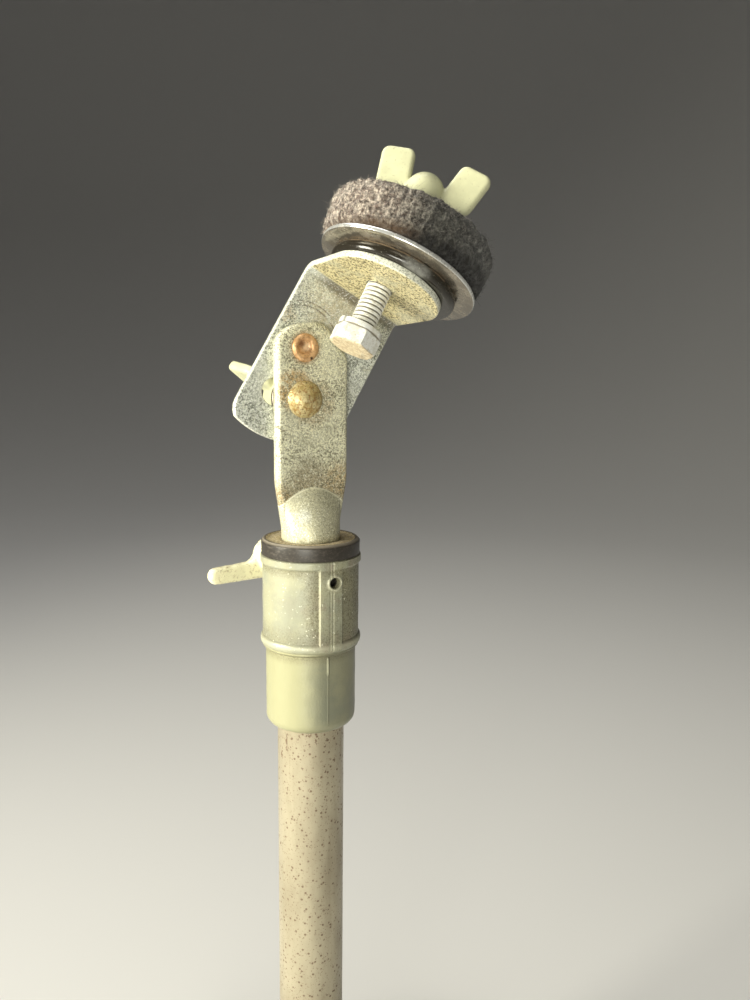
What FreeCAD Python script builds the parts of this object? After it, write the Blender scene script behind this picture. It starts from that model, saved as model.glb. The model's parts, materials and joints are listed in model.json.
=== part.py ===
import FreeCAD, Part
import math
import os

# Telescoping desktop microphone stand with a tilting clamp head.
# Millimetres, +Z up, origin on the table under the centre of the round base.
# The flat face of the neck looks along -Y and the head leans towards +X.

# ---------------------------------------------------------------- driving dimensions
RING_TOP = 250.0            # top face of the black bush flange at the lowest height

# round base
BASE_RADIUS = 76.0
FOOT_HEIGHT = 3.0
FOOT_RADIUS = 6.0
FOOT_CIRCLE = 69.0
BASE_RIM_TOP = 11.0
BASE_WEB_BOTTOM = 15.0
BASE_WEB_TOP = 19.0
HUB_RADIUS = 17.0
HUB_TOP = 33.0
RECESS_RADIUS = 62.0
RECESS_DEPTH = 4.0
BOLT_POCKET_RADIUS = 13.0

# tubes
OUTER_TUBE_RADIUS = 22.225 / 2
OUTER_TUBE_BORE = 9.9125
INNER_TUBE_RADIUS = 19.05 / 2
INNER_TUBE_BORE = 8.2
RUNNING_GAP = 0.07
TUBE_PLUG_TOP = 39.0
INNER_TUBE_BOTTOM = 50.0

# collar, heights measured down from RING_TOP
RING_RADIUS = 16.08
RING_HEIGHT = 5.15
LIP_BOTTOM = 7.9
DRUM_RADIUS = 15.75
BEAD_RADIUS = 16.4
BEAD_CENTRE = 33.3
BEAD_HALF = 1.5
STEP_BOTTOM = 36.0
SLEEVE_RADIUS = 14.8
COLLAR_BOTTOM = 62.6
COLLAR_EDGE_ROUND = 3.2
BUSH_SKIRT_RADIUS = 12.5
BUSH_SKIRT_BOTTOM = 26.0
TUBE_SHOULDER = 29.0
STRIP_HALF_ANGLE = 14.0
STRIP_RADIUS = 16.3
SEAM_WIDTH = 0.5
SEAM_HEIGHT = 0.16

# height clamp: screw axis points to the back of the collar
CLAMP_TURN = 4.0            # degrees about +Z from the +Y axis
CLAMP_DEPTH = 12.0          # below RING_TOP
CLAMP_BOSS_RADIUS = 6.2
CLAMP_BOSS_END = 23.0
PAD_RADIUS = 4.2
PAD_OUTER_END = 13.4
PAD_GAP = 0.08
HOLE_RADIUS = 1.7
HOLE_RIM_RADIUS = 2.5
SCREW_RADIUS = 2.95
SCREW_HUB_START = 24.6
SCREW_HUB_END = 34.0
SCREW_HUB_RADIUS = 6.3
LEVER_REACH = 24.5
LEVER_HEIGHT = 5.6
LEVER_DEPTH = 4.4
LEVER_DROOP = 4.0          # degrees below level on the -X side

# flattened neck, heights measured up from RING_TOP
NECK_LEFT = -12.3
NECK_RIGHT = 12.55
NECK_THICKNESS = 4.1
NECK_EDGE_ROUND = 1.3
NECK_TOP = 68.4
FLAT_START = 15.4
NECK_WAIST = 9.7
BULGE_SHAPE = 1.8           # higher keeps the tube round further up
NECK_CORNER_LEFT = 59.0     # where the straight sides end
NECK_CORNER_RIGHT = 55.5
SQUARE_NECK = 8.0
RIVET_RADIUS = 2.4
PIVOT_X = -2.7
PIVOT_HEIGHT = 60.6
CLAMP_BOLT_HEIGHT = 44.6

# tilting bracket, in its own upright frame with the pivot at the origin
REST_TILT = 28.85
LEG_LEFT = 10.9             # at the bottom corner
TAB_LEFT = 9.5              # at the bend
LEG_RIGHT = 25.9
LEG_TAPER = 1.2             # degrees, right edge narrows downwards
LEG_FRONT = 2.12
PLATE = 2.3
LEG_ARC = 30.2
LEG_CORNER = 4.0
TAB_HEIGHT = 23.3
BEND_OPENING = 3.0          # the bend is this many degrees more than square
TAB_CENTRE = 19.9
BEND_INNER = 1.2
SLOT_HALF_WIDTH = 4.35
SLOT_FROM = -3.0
SLOT_TO = 79.0

# stack on the tab, heights above the underside of the tab along the bolt
BOLT_FROM_LEG = 18.8
BOLT_SIDE = 7.25
BOLT_RADIUS = 3.95
NUT_BORE = 4.0
HEX_ACROSS_FLATS = 13.0
HEX_HEIGHT = 5.3
HEX_BOTTOM = -20.6
HEX_TURN = -128.6
LOCK_WASHER = 2.0
LOCK_SPLIT_TURN = -166.8
RUBBER_TOP = 6.0
RUBBER_RADIUS = 20.4
RUBBER_HOLE = 7.1
RUBBER_SHIFT = (2.9, -0.5)
BACKING_TOP = 7.5
BACKING_RADIUS = 25.3
BACKING_HOLE = 7.6
BACKING_SHIFT = (3.1, -0.9)
FELT_TOP = 20.6             # where the top washer presses it down
FELT_RIM_TOP = 22.8
FELT_DISH_RADIUS = 12.5
FELT_RADIUS = 26.5
FELT_SHIFT = 2.0
TOP_WASHER_RADIUS = 10.0
WASHER_THICKNESS = 1.5
PART_GAP = 0.05
TOP_NUT_TURN = -42.0
TILT_NUT_TURN = 143.0

# wing nut
NUT_BASE_RADIUS = 7.8
NUT_WAIST_RADIUS = 6.3
NUT_APEX = 18.0
NUT_BORE_DEPTH = 14.0
NUT_WING_THICKNESS = 3.2
NUT_WING_CORNERS = ((4.5, 3.5), (4.5, 11.0), (8.2, 24.4), (18.8, 22.6), (15.7, 9.8), (9.3, 3.0))

# base fastening
BASE_BOLT_RADIUS = 4.95
BASE_BOLT_ACROSS_FLATS = 17.0
BASE_BOLT_HEAD = 6.4
BASE_SPRING_WASHER = 2.2

ORIGIN = FreeCAD.Vector(0, 0, 0)
X_AXIS = FreeCAD.Vector(1, 0, 0)
Y_AXIS = FreeCAD.Vector(0, 1, 0)
Z_AXIS = FreeCAD.Vector(0, 0, 1)


# ---------------------------------------------------------------- small helpers
def vec(x, y, z):
    return FreeCAD.Vector(x, y, z)


def rotation(axis, degrees):
    return FreeCAD.Placement(ORIGIN, FreeCAD.Rotation(axis, degrees))


def shift(x, y, z):
    return FreeCAD.Placement(vec(x, y, z), FreeCAD.Rotation())


def put(shape, placement):
    return shape.transformed(placement.toMatrix(), True)


def cylinder(radius, low, high, x=0.0, y=0.0):
    return Part.makeCylinder(radius, high - low, vec(x, y, low), Z_AXIS)


def ring(outer, inner, low, high):
    return cylinder(outer, low, high).cut(cylinder(inner, low - 1, high + 1))


def turned(points):
    """Solid of revolution about Z from a closed (radius, height) outline."""
    corners = [vec(r, 0, z) for r, z in points]
    outline = Part.makePolygon(corners + corners[:1])
    return Part.Face(outline).revolve(ORIGIN, Z_AXIS, 360)


def circle_edges(solid, radius, height):
    """Circular edges about Z of the given radius and height."""
    found = []
    for edge in solid.Edges:
        curve = edge.Curve
        if isinstance(curve, Part.Circle) and abs(curve.Radius - radius) < 1e-3:
            if abs(curve.Center.z - height) < 1e-3:
                found.append(edge)
    return found


def hexagon(across_flats, low, high):
    corner = across_flats / math.sqrt(3)
    corners = []
    for k in range(7):
        angle = math.radians(30 + 60 * k)
        corners.append(vec(corner * math.cos(angle), corner * math.sin(angle), low))
    return Part.Face(Part.makePolygon(corners)).extrude(vec(0, 0, high - low))


def hex_head(across_flats, low, high):
    """Hexagon with the corners of its lower end turned off by a 30 degree cone."""
    corner = across_flats / math.sqrt(3) + 0.01
    flat = across_flats * 0.475
    drop = (corner - flat) * math.tan(math.radians(30))
    points = [(0, low), (flat, low), (corner, low + drop), (corner, high), (0, high)]
    return hexagon(across_flats, low, high).common(turned(points))


def arc_edge(a, b, c):
    return Part.Arc(vec(*a), vec(*b), vec(*c)).toShape()


def line_edge(a, b):
    return Part.LineSegment(vec(*a), vec(*b)).toShape()


def outline_face(y, start, *steps):
    """Face at a constant y. A step is the (x, z) end of a line, or the middle and end of an arc."""
    edges = []
    here = (start[0], y, start[1])
    for step in steps:
        end = (step[-2], y, step[-1])
        if len(step) == 2:
            edges.append(line_edge(here, end))
        else:
            edges.append(arc_edge(here, (step[0], y, step[1]), end))
        here = end
    return Part.Face(Part.Wire(edges))


def split_washer(outer, inner, thickness, low, split_turn):
    washer = ring(outer, inner, low, low + thickness)
    slit = Part.makeBox(outer, 0.8, 3 * thickness, vec(0, -0.4, low - thickness))
    return washer.cut(put(slit, rotation(Z_AXIS, split_turn)))


# ---------------------------------------------------------------- frames of the moving pieces
PIVOT = vec(PIVOT_X, 0, RING_TOP + PIVOT_HEIGHT)
BRACKET_FRAME = shift(PIVOT.x, PIVOT.y, PIVOT.z) * rotation(Y_AXIS, REST_TILT)
OPENING = math.radians(BEND_OPENING)
TAB_FRAME = (
    BRACKET_FRAME
    * shift(
        BOLT_SIDE,
        LEG_FRONT - BOLT_FROM_LEG * math.cos(OPENING),
        TAB_HEIGHT + BOLT_FROM_LEG * math.sin(OPENING),
    )
    * rotation(X_AXIS, -BEND_OPENING)
)
TILT_BOLT_FRAME = shift(PIVOT_X, 0, RING_TOP + CLAMP_BOLT_HEIGHT) * rotation(X_AXIS, -90)
CLAMP_FRAME = shift(0, 0, RING_TOP - CLAMP_DEPTH) * rotation(Z_AXIS, CLAMP_TURN) * rotation(X_AXIS, -90)


# ---------------------------------------------------------------- base
def base_plate():
    low = FOOT_HEIGHT
    profile = [
        (0, low),
        (BASE_RADIUS - 1, low),
        (BASE_RADIUS, low + 1),
        (BASE_RADIUS, BASE_RIM_TOP - 2.5),
        (BASE_RADIUS - 0.8, BASE_RIM_TOP - 0.8),
        (BASE_RADIUS - 3, BASE_RIM_TOP),
        (HUB_RADIUS + 26, BASE_RIM_TOP + 4.5),
        (HUB_RADIUS + 9, BASE_RIM_TOP + 8),
        (HUB_RADIUS + 3, BASE_RIM_TOP + 11),
        (HUB_RADIUS + 0.6, BASE_RIM_TOP + 15),
        (HUB_RADIUS, HUB_TOP - 1.5),
        (HUB_RADIUS - 1.5, HUB_TOP),
        (0, HUB_TOP),
    ]
    plate = turned(profile)
    plate = plate.cut(cylinder(RECESS_RADIUS, low - 1, low + RECESS_DEPTH))
    plate = plate.cut(cylinder(BOLT_POCKET_RADIUS, low - 1, BASE_WEB_BOTTOM))
    plate = plate.cut(cylinder(BASE_BOLT_RADIUS + 0.35, low, HUB_TOP))
    return plate.cut(cylinder(OUTER_TUBE_RADIUS + 0.03, BASE_WEB_TOP, HUB_TOP + 1))


def rubber_feet():
    feet = []
    for k in range(4):
        angle = math.radians(45 + 90 * k)
        x = FOOT_CIRCLE * math.cos(angle)
        y = FOOT_CIRCLE * math.sin(angle)
        foot = cylinder(FOOT_RADIUS, 0, FOOT_HEIGHT, x, y)
        feet.append(foot.makeFillet(0.8, circle_edges(foot, FOOT_RADIUS, 0)))
    return Part.makeCompound(feet)


def base_bolt():
    head_top = BASE_WEB_BOTTOM - WASHER_THICKNESS - BASE_SPRING_WASHER
    head = hex_head(BASE_BOLT_ACROSS_FLATS, head_top - BASE_BOLT_HEAD, head_top)
    return head.fuse(cylinder(BASE_BOLT_RADIUS, head_top - 1, BASE_WEB_TOP + 15))


def base_spring_washer():
    low = BASE_WEB_BOTTOM - WASHER_THICKNESS - BASE_SPRING_WASHER
    return split_washer(8.6, BASE_BOLT_RADIUS + 0.25, BASE_SPRING_WASHER, low, 30)


def base_flat_washer():
    return ring(10.5, BASE_BOLT_RADIUS + 0.35, BASE_WEB_BOTTOM - WASHER_THICKNESS, BASE_WEB_BOTTOM)


def tube_plug():
    plug = cylinder(OUTER_TUBE_BORE - 0.02, BASE_WEB_TOP, TUBE_PLUG_TOP)
    plug = plug.makeChamfer(1.0, circle_edges(plug, OUTER_TUBE_BORE - 0.02, TUBE_PLUG_TOP))
    return plug.cut(cylinder(5.0, BASE_WEB_TOP - 1, BASE_WEB_TOP + 16))


def outer_tube():
    return ring(OUTER_TUBE_RADIUS, OUTER_TUBE_BORE, BASE_WEB_TOP, RING_TOP - TUBE_SHOULDER)


# ---------------------------------------------------------------- collar and height clamp
def collar_profile():
    """Outside of the die-cast collar, one (radius, height) outline from top to bottom."""
    top = RING_TOP - RING_HEIGHT
    lip = RING_TOP - LIP_BOTTOM
    bead = RING_TOP - BEAD_CENTRE
    points = [(0, top), (BEAD_RADIUS - 0.5, top), (BEAD_RADIUS, top - 0.5)]
    points += [(BEAD_RADIUS, lip + 0.6), (DRUM_RADIUS + 0.15, lip), (DRUM_RADIUS, lip - 0.3)]
    points.append((DRUM_RADIUS, bead + BEAD_HALF + 0.3))
    for k in range(7):
        angle = math.radians(75 - 25 * k)
        reach = BEAD_RADIUS - DRUM_RADIUS
        points.append((DRUM_RADIUS + reach * math.cos(angle), bead + BEAD_HALF * math.sin(angle)))
    points.append((SLEEVE_RADIUS + 0.5, RING_TOP - STEP_BOTTOM + 0.8))
    points.append((SLEEVE_RADIUS, RING_TOP - STEP_BOTTOM))
    bottom = RING_TOP - COLLAR_BOTTOM
    steps = 6
    for k in range(steps + 1):
        angle = math.radians(90 * k / steps)
        r = SLEEVE_RADIUS - COLLAR_EDGE_ROUND * (1 - math.cos(angle))
        points.append((r, bottom + COLLAR_EDGE_ROUND * (1 - math.sin(angle))))
    points.append((0, bottom))
    return points


def clamp_collar():
    top = RING_TOP - RING_HEIGHT
    body = turned(collar_profile())
    # raised strip with the parting line down the front
    strip = cylinder(STRIP_RADIUS, RING_TOP - BEAD_CENTRE - BEAD_HALF, top)
    half = STRIP_RADIUS * math.sin(math.radians(STRIP_HALF_ANGLE))
    window = Part.makeBox(2 * half, 20, 60, vec(-half, -20, top - 50))
    body = body.fuse(strip.common(window))
    seam = Part.makeBox(SEAM_WIDTH, 4, COLLAR_BOTTOM - STEP_BOTTOM - 4, vec(-SEAM_WIDTH / 2, 0, 0))
    seam = put(seam, shift(0, -SLEEVE_RADIUS - SEAM_HEIGHT, RING_TOP - COLLAR_BOTTOM + 4))
    body = body.fuse(seam)
    # screw boss at the back and a raised rim round the small hole at the front
    boss = cylinder(CLAMP_BOSS_RADIUS, 10, CLAMP_BOSS_END)
    boss = boss.makeFillet(1.0, circle_edges(boss, CLAMP_BOSS_RADIUS, CLAMP_BOSS_END))
    body = body.fuse(put(boss, CLAMP_FRAME))
    rim = cylinder(HOLE_RIM_RADIUS, -STRIP_RADIUS - 0.4, -13)
    body = body.fuse(put(rim, CLAMP_FRAME))
    # bores
    body = body.cut(cylinder(BUSH_SKIRT_RADIUS + 0.05, RING_TOP - 27, RING_TOP))
    body = body.cut(cylinder(9.75, RING_TOP - 40, RING_TOP))
    body = body.cut(cylinder(OUTER_TUBE_RADIUS + 0.02, 0, RING_TOP - TUBE_SHOULDER))
    body = body.cut(put(cylinder(HOLE_RADIUS, -20, -10), CLAMP_FRAME))
    body = body.cut(put(cylinder(PAD_RADIUS + PAD_GAP, 8, 16), CLAMP_FRAME))
    return body.cut(put(cylinder(SCREW_RADIUS + PART_GAP, 8, 30), CLAMP_FRAME))


def collar_bush():
    top = RING_TOP
    chamfer = 0.9
    profile = [
        (INNER_TUBE_RADIUS + RUNNING_GAP, top - BUSH_SKIRT_BOTTOM),
        (BUSH_SKIRT_RADIUS, top - BUSH_SKIRT_BOTTOM),
        (BUSH_SKIRT_RADIUS, top - RING_HEIGHT),
        (RING_RADIUS, top - RING_HEIGHT),
        (RING_RADIUS, top - chamfer),
        (RING_RADIUS - chamfer, top),
        (INNER_TUBE_RADIUS + RUNNING_GAP + 0.5, top),
        (INNER_TUBE_RADIUS + RUNNING_GAP, top - 0.5),
    ]
    return turned(profile).cut(put(cylinder(PAD_RADIUS + PAD_GAP, 5, 18), CLAMP_FRAME))


def clamp_pad():
    pad = put(cylinder(PAD_RADIUS, 5, PAD_OUTER_END), CLAMP_FRAME)
    return pad.cut(cylinder(INNER_TUBE_RADIUS + RUNNING_GAP, RING_TOP - 40, RING_TOP))


def clamp_wing_screw():
    """Thumb screw: shank, hub and a long bar-shaped wing each side, in line with the hub's lower edge."""
    shank = cylinder(SCREW_RADIUS, PAD_OUTER_END + PART_GAP, SCREW_HUB_START + 2)
    hub = cylinder(SCREW_HUB_RADIUS, SCREW_HUB_START, SCREW_HUB_END)
    hub = hub.makeFillet(1.8, circle_edges(hub, SCREW_HUB_RADIUS, SCREW_HUB_END))
    half = LEVER_HEIGHT / 2
    middle = (SCREW_HUB_START + SCREW_HUB_END) / 2
    corner = vec(-LEVER_REACH, -half, middle - LEVER_DEPTH / 2)
    bar = Part.makeBox(2 * LEVER_REACH, LEVER_HEIGHT, LEVER_DEPTH, corner)
    upright = [e for e in bar.Edges if abs(e.tangentAt(e.FirstParameter).z) > 0.99]
    bar = bar.makeFillet(half - 0.05, upright)
    bar = bar.makeFillet(1.3, [e for e in bar.Edges if abs(e.tangentAt(e.FirstParameter).z) < 0.01])
    bar = put(bar, rotation(Z_AXIS, -LEVER_DROOP) * shift(0, SCREW_HUB_RADIUS - half, 0))
    return put(shank.fuse(hub).fuse(bar), CLAMP_FRAME)


# ---------------------------------------------------------------- sliding tube, neck and its pivots
def guide_plug():
    flange = cylinder(OUTER_TUBE_BORE - RUNNING_GAP, INNER_TUBE_BOTTOM - 6, INNER_TUBE_BOTTOM)
    spigot = cylinder(INNER_TUBE_BORE - 0.05, INNER_TUBE_BOTTOM - 1, INNER_TUBE_BOTTOM + 12)
    return flange.fuse(spigot).cut(cylinder(5.5, INNER_TUBE_BOTTOM - 10, INNER_TUBE_BOTTOM + 20))


def neck_plate():
    """Flattened end of the tube: side edges taper into the round tube, the top is rounded."""
    left, right, top, waist = NECK_LEFT, NECK_RIGHT, NECK_TOP, NECK_WAIST
    shoulder = FLAT_START + 3
    face = outline_face(
        -NECK_THICKNESS / 2,
        (-waist, 0.6),
        (waist, 0.6),
        (waist + 0.3, 3.5),
        (right, shoulder),
        (right, NECK_CORNER_RIGHT),
        (right - 0.7, NECK_CORNER_RIGHT + 3.1, right - 2.2, NECK_CORNER_RIGHT + 5.1),
        (right - 6.35, top - 3),
        (right - 8.35, top - 1, right - 11.35, top),
        (left + 6.35, top - 1.2, left + 2.6, NECK_CORNER_LEFT + 6),
        (left + 0.7, NECK_CORNER_LEFT + 3.4, left, NECK_CORNER_LEFT),
        (left, shoulder),
        (-waist - 0.3, 3.5),
        (-waist, 0.6),
    )
    plate = face.extrude(vec(0, NECK_THICKNESS, 0))
    rims = [e for e in plate.Edges if e.BoundBox.YLength < 1e-6 and e.BoundBox.ZMin > 0.7]
    return put(plate.makeFillet(NECK_EDGE_ROUND, rims), shift(0, 0, RING_TOP))


def neck_bulge():
    """Where the round tube is squeezed flat: circles that become thin ellipses."""
    sections = []
    count = 6
    for k in range(count):
        t = k / (count - 1)
        height = 0.6 + t * FLAT_START
        half_depth = INNER_TUBE_RADIUS + (NECK_THICKNESS / 2 - 0.1 - INNER_TUBE_RADIUS) * t ** BULGE_SHAPE
        half_width = INNER_TUBE_RADIUS + 2.0 * t
        middle = vec((NECK_LEFT + NECK_RIGHT) / 2 * t, 0, RING_TOP + height)
        if half_width > half_depth + 1e-6:
            curve = Part.Ellipse(middle + vec(half_width, 0, 0), middle + vec(0, half_depth, 0), middle)
        else:
            curve = Part.Circle(middle, Z_AXIS, half_depth)
        sections.append(Part.Wire(curve.toShape()))
    return Part.makeLoft(sections, True, False)


def neck_tube():
    tube = cylinder(INNER_TUBE_RADIUS, INNER_TUBE_BOTTOM, RING_TOP + 0.6)
    neck = tube.fuse(neck_bulge()).fuse(neck_plate())
    neck = neck.cut(cylinder(INNER_TUBE_BORE, INNER_TUBE_BOTTOM - 1, RING_TOP - 4))
    rivet_hole = Part.makeCylinder(RIVET_RADIUS + 0.05, 20, PIVOT - vec(0, 10, 0), Y_AXIS)
    side = SQUARE_NECK + 0.1
    corner = vec(PIVOT_X - side / 2, -10, RING_TOP + CLAMP_BOLT_HEIGHT - side / 2)
    square = Part.makeBox(side, 20, side, corner)
    return neck.cut(rivet_hole).cut(square)


def tilt_rivet():
    """Semi-tubular rivet: oval head at the back, rolled-over end with a dimple at the front."""
    front = NECK_THICKNESS / 2
    back = LEG_FRONT + PLATE
    profile = [
        (0, -front + 0.7),
        (1.5, -front + 0.3),
        (2.1, -front - 0.5),
        (2.6, -front - 1.1),
        (3.4, -front - 1.2),
        (4.2, -front - 0.7),
        (4.5, -front),
        (RIVET_RADIUS, -front),
        (RIVET_RADIUS, back + PART_GAP),
        (5.0, back + PART_GAP),
        (4.6, back + 1.0),
        (3.2, back + 1.9),
        (0, back + 2.2),
    ]
    return put(turned(profile), shift(PIVOT.x, PIVOT.y, PIVOT.z) * rotation(X_AXIS, -90))


def carriage_bolt():
    face = -NECK_THICKNESS / 2
    head_radius, head_height = 5.9, 3.2
    ball = (head_radius ** 2 + head_height ** 2) / (2 * head_height)
    dome = Part.makeSphere(ball, vec(0, 0, face - head_height + ball))
    dome = dome.common(cylinder(head_radius, face - head_height - 1, face))
    half = SQUARE_NECK / 2
    square = Part.makeBox(SQUARE_NECK, SQUARE_NECK, NECK_THICKNESS - 0.1, vec(-half, -half, face))
    nut_seat = LEG_FRONT + PLATE + WASHER_THICKNESS + 2 * PART_GAP
    shank = cylinder(BOLT_RADIUS, face, nut_seat + NUT_BORE_DEPTH - 1.5)
    return put(dome.fuse(square).fuse(shank), TILT_BOLT_FRAME)


# ---------------------------------------------------------------- tilting bracket
def leg_right(height):
    """Right edge of the leg, which narrows downwards."""
    return LEG_RIGHT + height * math.tan(math.radians(LEG_TAPER))


def leg_face():
    """Leg outline: straight sides and a bottom concentric with the pivot."""
    top = TAB_HEIGHT - BEND_INNER
    # the right edge meets the bottom arc; its lean hardly moves the meeting point
    low_x = leg_right(-math.sqrt(LEG_ARC ** 2 - LEG_RIGHT ** 2))
    low_right = -math.sqrt(LEG_ARC ** 2 - low_x ** 2)
    # the left corner is rounded
    corner_top = -math.sqrt(LEG_ARC ** 2 - LEG_LEFT ** 2) + LEG_CORNER
    arc_x = -LEG_LEFT + LEG_CORNER * 0.55
    arc_z = -math.sqrt(LEG_ARC ** 2 - arc_x ** 2)
    return outline_face(
        LEG_FRONT,
        (-TAB_LEFT, top),
        (-LEG_LEFT, corner_top),
        (-LEG_LEFT + 0.62, corner_top - 3.1, arc_x, arc_z),
        (0, -LEG_ARC, low_x, low_right),
        (leg_right(top), top),
        (-TAB_LEFT, top),
    )


def arc_slot():
    """Kidney slot about the pivot, between the end angles from straight down towards +X."""
    radius = PIVOT_HEIGHT - CLAMP_BOLT_HEIGHT
    depth = PLATE + 4
    half = SLOT_HALF_WIDTH

    def at(r, degrees):
        a = math.radians(degrees)
        return (r * math.sin(a), LEG_FRONT - 2, -r * math.cos(a))

    def cap_middle(degrees, sign):
        a = math.radians(degrees)
        x, y, z = at(radius, degrees)
        return (x + sign * half * math.cos(a), y, z + sign * half * math.sin(a))

    middle = (SLOT_FROM + SLOT_TO) / 2
    outer, inner = radius + half, radius - half
    edges = [
        arc_edge(at(outer, SLOT_FROM), at(outer, middle), at(outer, SLOT_TO)),
        arc_edge(at(outer, SLOT_TO), cap_middle(SLOT_TO, 1), at(inner, SLOT_TO)),
        arc_edge(at(inner, SLOT_TO), at(inner, middle), at(inner, SLOT_FROM)),
        arc_edge(at(inner, SLOT_FROM), cap_middle(SLOT_FROM, -1), at(outer, SLOT_FROM)),
    ]
    return Part.Face(Part.Wire(edges)).extrude(vec(0, depth, 0))


def bracket():
    """Pressed plate: leg, bend and a tab with a half-round end."""
    leg = leg_face().extrude(vec(0, PLATE, 0))
    right = leg_right(TAB_HEIGHT - BEND_INNER)
    width = right + TAB_LEFT
    # the bend turns about an axis just in front of the leg and under the tab
    bend_axis = vec(-TAB_LEFT, LEG_FRONT - BEND_INNER, TAB_HEIGHT - BEND_INNER)
    strip = Part.makePlane(width, PLATE, vec(-TAB_LEFT, LEG_FRONT, TAB_HEIGHT - BEND_INNER), Z_AXIS)
    bend = strip.revolve(bend_axis, X_AXIS, 90 - BEND_OPENING)
    # tab, flat, then opened by the bend angle about the same axis
    centre_x = (right - TAB_LEFT) / 2
    half_width = width / 2
    inner_y = LEG_FRONT - BEND_INNER
    reach = TAB_CENTRE - BEND_INNER
    outline = [
        line_edge((-TAB_LEFT, inner_y, TAB_HEIGHT), (right, inner_y, TAB_HEIGHT)),
        line_edge((right, inner_y, TAB_HEIGHT), (right, inner_y - reach, TAB_HEIGHT)),
        arc_edge(
            (right, inner_y - reach, TAB_HEIGHT),
            (centre_x, inner_y - reach - half_width, TAB_HEIGHT),
            (-TAB_LEFT, inner_y - reach, TAB_HEIGHT),
        ),
        line_edge((-TAB_LEFT, inner_y - reach, TAB_HEIGHT), (-TAB_LEFT, inner_y, TAB_HEIGHT)),
    ]
    tab = Part.Face(Part.Wire(outline)).extrude(vec(0, 0, PLATE))
    tab.rotate(bend_axis, X_AXIS, -BEND_OPENING)
    plate = leg.fuse(bend).fuse(tab).removeSplitter()
    plate = plate.cut(arc_slot())
    plate = plate.cut(Part.makeCylinder(RIVET_RADIUS + 0.06, 20, vec(0, -10, 0), Y_AXIS))
    plate = put(plate, BRACKET_FRAME)
    return plate.cut(put(cylinder(4.0, -5, 8), TAB_FRAME))


# ---------------------------------------------------------------- stack on the tab
def hex_bolt():
    head = hex_head(HEX_ACROSS_FLATS, HEX_BOTTOM, HEX_BOTTOM + HEX_HEIGHT)
    head = put(head, rotation(Z_AXIS, HEX_TURN))
    tip = FELT_TOP + WASHER_THICKNESS + 2 * PART_GAP + NUT_BORE_DEPTH - 1.5
    shank = cylinder(BOLT_RADIUS, HEX_BOTTOM + 1, tip)
    shank = shank.makeChamfer(0.8, circle_edges(shank, BOLT_RADIUS, tip))
    return put(head.fuse(shank), TAB_FRAME)


def lock_washer():
    low = HEX_BOTTOM + HEX_HEIGHT
    return put(split_washer(6.9, 4.1, LOCK_WASHER, low, LOCK_SPLIT_TURN), TAB_FRAME)


def rubber_washer():
    edge = 1.2
    washer = turned([
        (RUBBER_HOLE, PLATE),
        (RUBBER_RADIUS - edge, PLATE),
        (RUBBER_RADIUS - edge * 0.3, PLATE + edge * 0.3),
        (RUBBER_RADIUS, PLATE + edge),
        (RUBBER_RADIUS, RUBBER_TOP - edge),
        (RUBBER_RADIUS - edge * 0.3, RUBBER_TOP - edge * 0.3),
        (RUBBER_RADIUS - edge, RUBBER_TOP),
        (RUBBER_HOLE, RUBBER_TOP),
    ])
    return put(put(washer, shift(RUBBER_SHIFT[0], RUBBER_SHIFT[1], 0)), TAB_FRAME)


def backing_washer():
    washer = ring(BACKING_RADIUS, BACKING_HOLE, RUBBER_TOP, BACKING_TOP)
    return put(put(washer, shift(BACKING_SHIFT[0], BACKING_SHIFT[1], 0)), TAB_FRAME)


def felt_washer():
    """Thick felt, pressed down in the middle by the top washer."""
    edge = 3.0
    bore = BOLT_RADIUS + FELT_SHIFT + 0.25
    low, high, outer = BACKING_TOP, FELT_RIM_TOP, FELT_RADIUS
    felt = turned([
        (bore, low),
        (outer - edge, low),
        (outer - edge * 0.3, low + edge * 0.3),
        (outer, low + edge),
        (outer, high - edge),
        (outer - edge * 0.3, high - edge * 0.3),
        (outer - edge, high),
        (FELT_DISH_RADIUS + edge, high - 0.6),
        (FELT_DISH_RADIUS, FELT_TOP),
        (bore, FELT_TOP),
    ])
    return put(put(felt, shift(FELT_SHIFT, 0, 0)), TAB_FRAME)


def top_washer():
    low = FELT_TOP + PART_GAP
    return put(ring(TOP_WASHER_RADIUS, 4.2, low, low + WASHER_THICKNESS), TAB_FRAME)


def wing_nut():
    """Closed-end wing nut standing on z = 0, wings along +X and -X."""
    hub = turned([
        (0, 0),
        (NUT_BASE_RADIUS, 0),
        (NUT_BASE_RADIUS, 1.2),
        (NUT_WAIST_RADIUS + 0.5, 4.0),
        (NUT_WAIST_RADIUS, 6.5),
        (NUT_WAIST_RADIUS, NUT_APEX - NUT_WAIST_RADIUS + 1.5),
        (0, NUT_APEX - NUT_WAIST_RADIUS + 1.5),
    ])
    cap = Part.makeSphere(NUT_WAIST_RADIUS + 0.3, vec(0, 0, NUT_APEX - NUT_WAIST_RADIUS - 0.3))
    cap = cap.common(cylinder(NUT_WAIST_RADIUS, NUT_APEX - NUT_WAIST_RADIUS, NUT_APEX + 1))
    nut = hub.fuse(cap)
    for side in (1, -1):
        corners = [(side * x, z) for x, z in NUT_WING_CORNERS]
        wing = outline_face(-NUT_WING_THICKNESS / 2, corners[-1], *corners)
        wing = wing.extrude(vec(0, NUT_WING_THICKNESS, 0))
        corners = []
        for edge in wing.Edges:
            if abs(edge.tangentAt(edge.FirstParameter).y) > 0.99 and abs(edge.Vertexes[0].Point.x) > 5:
                corners.append(edge)
        wing = wing.makeFillet(2.4, corners)
        rims = []
        for edge in wing.Edges:
            box = edge.BoundBox
            if box.YLength < 1e-6 and abs(box.XMin + box.XMax) / 2 > 4.6:
                rims.append(edge)
        nut = nut.fuse(wing.makeFillet(0.9, rims))
    return nut.cut(cylinder(NUT_BORE, -1, NUT_BORE_DEPTH))


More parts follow.
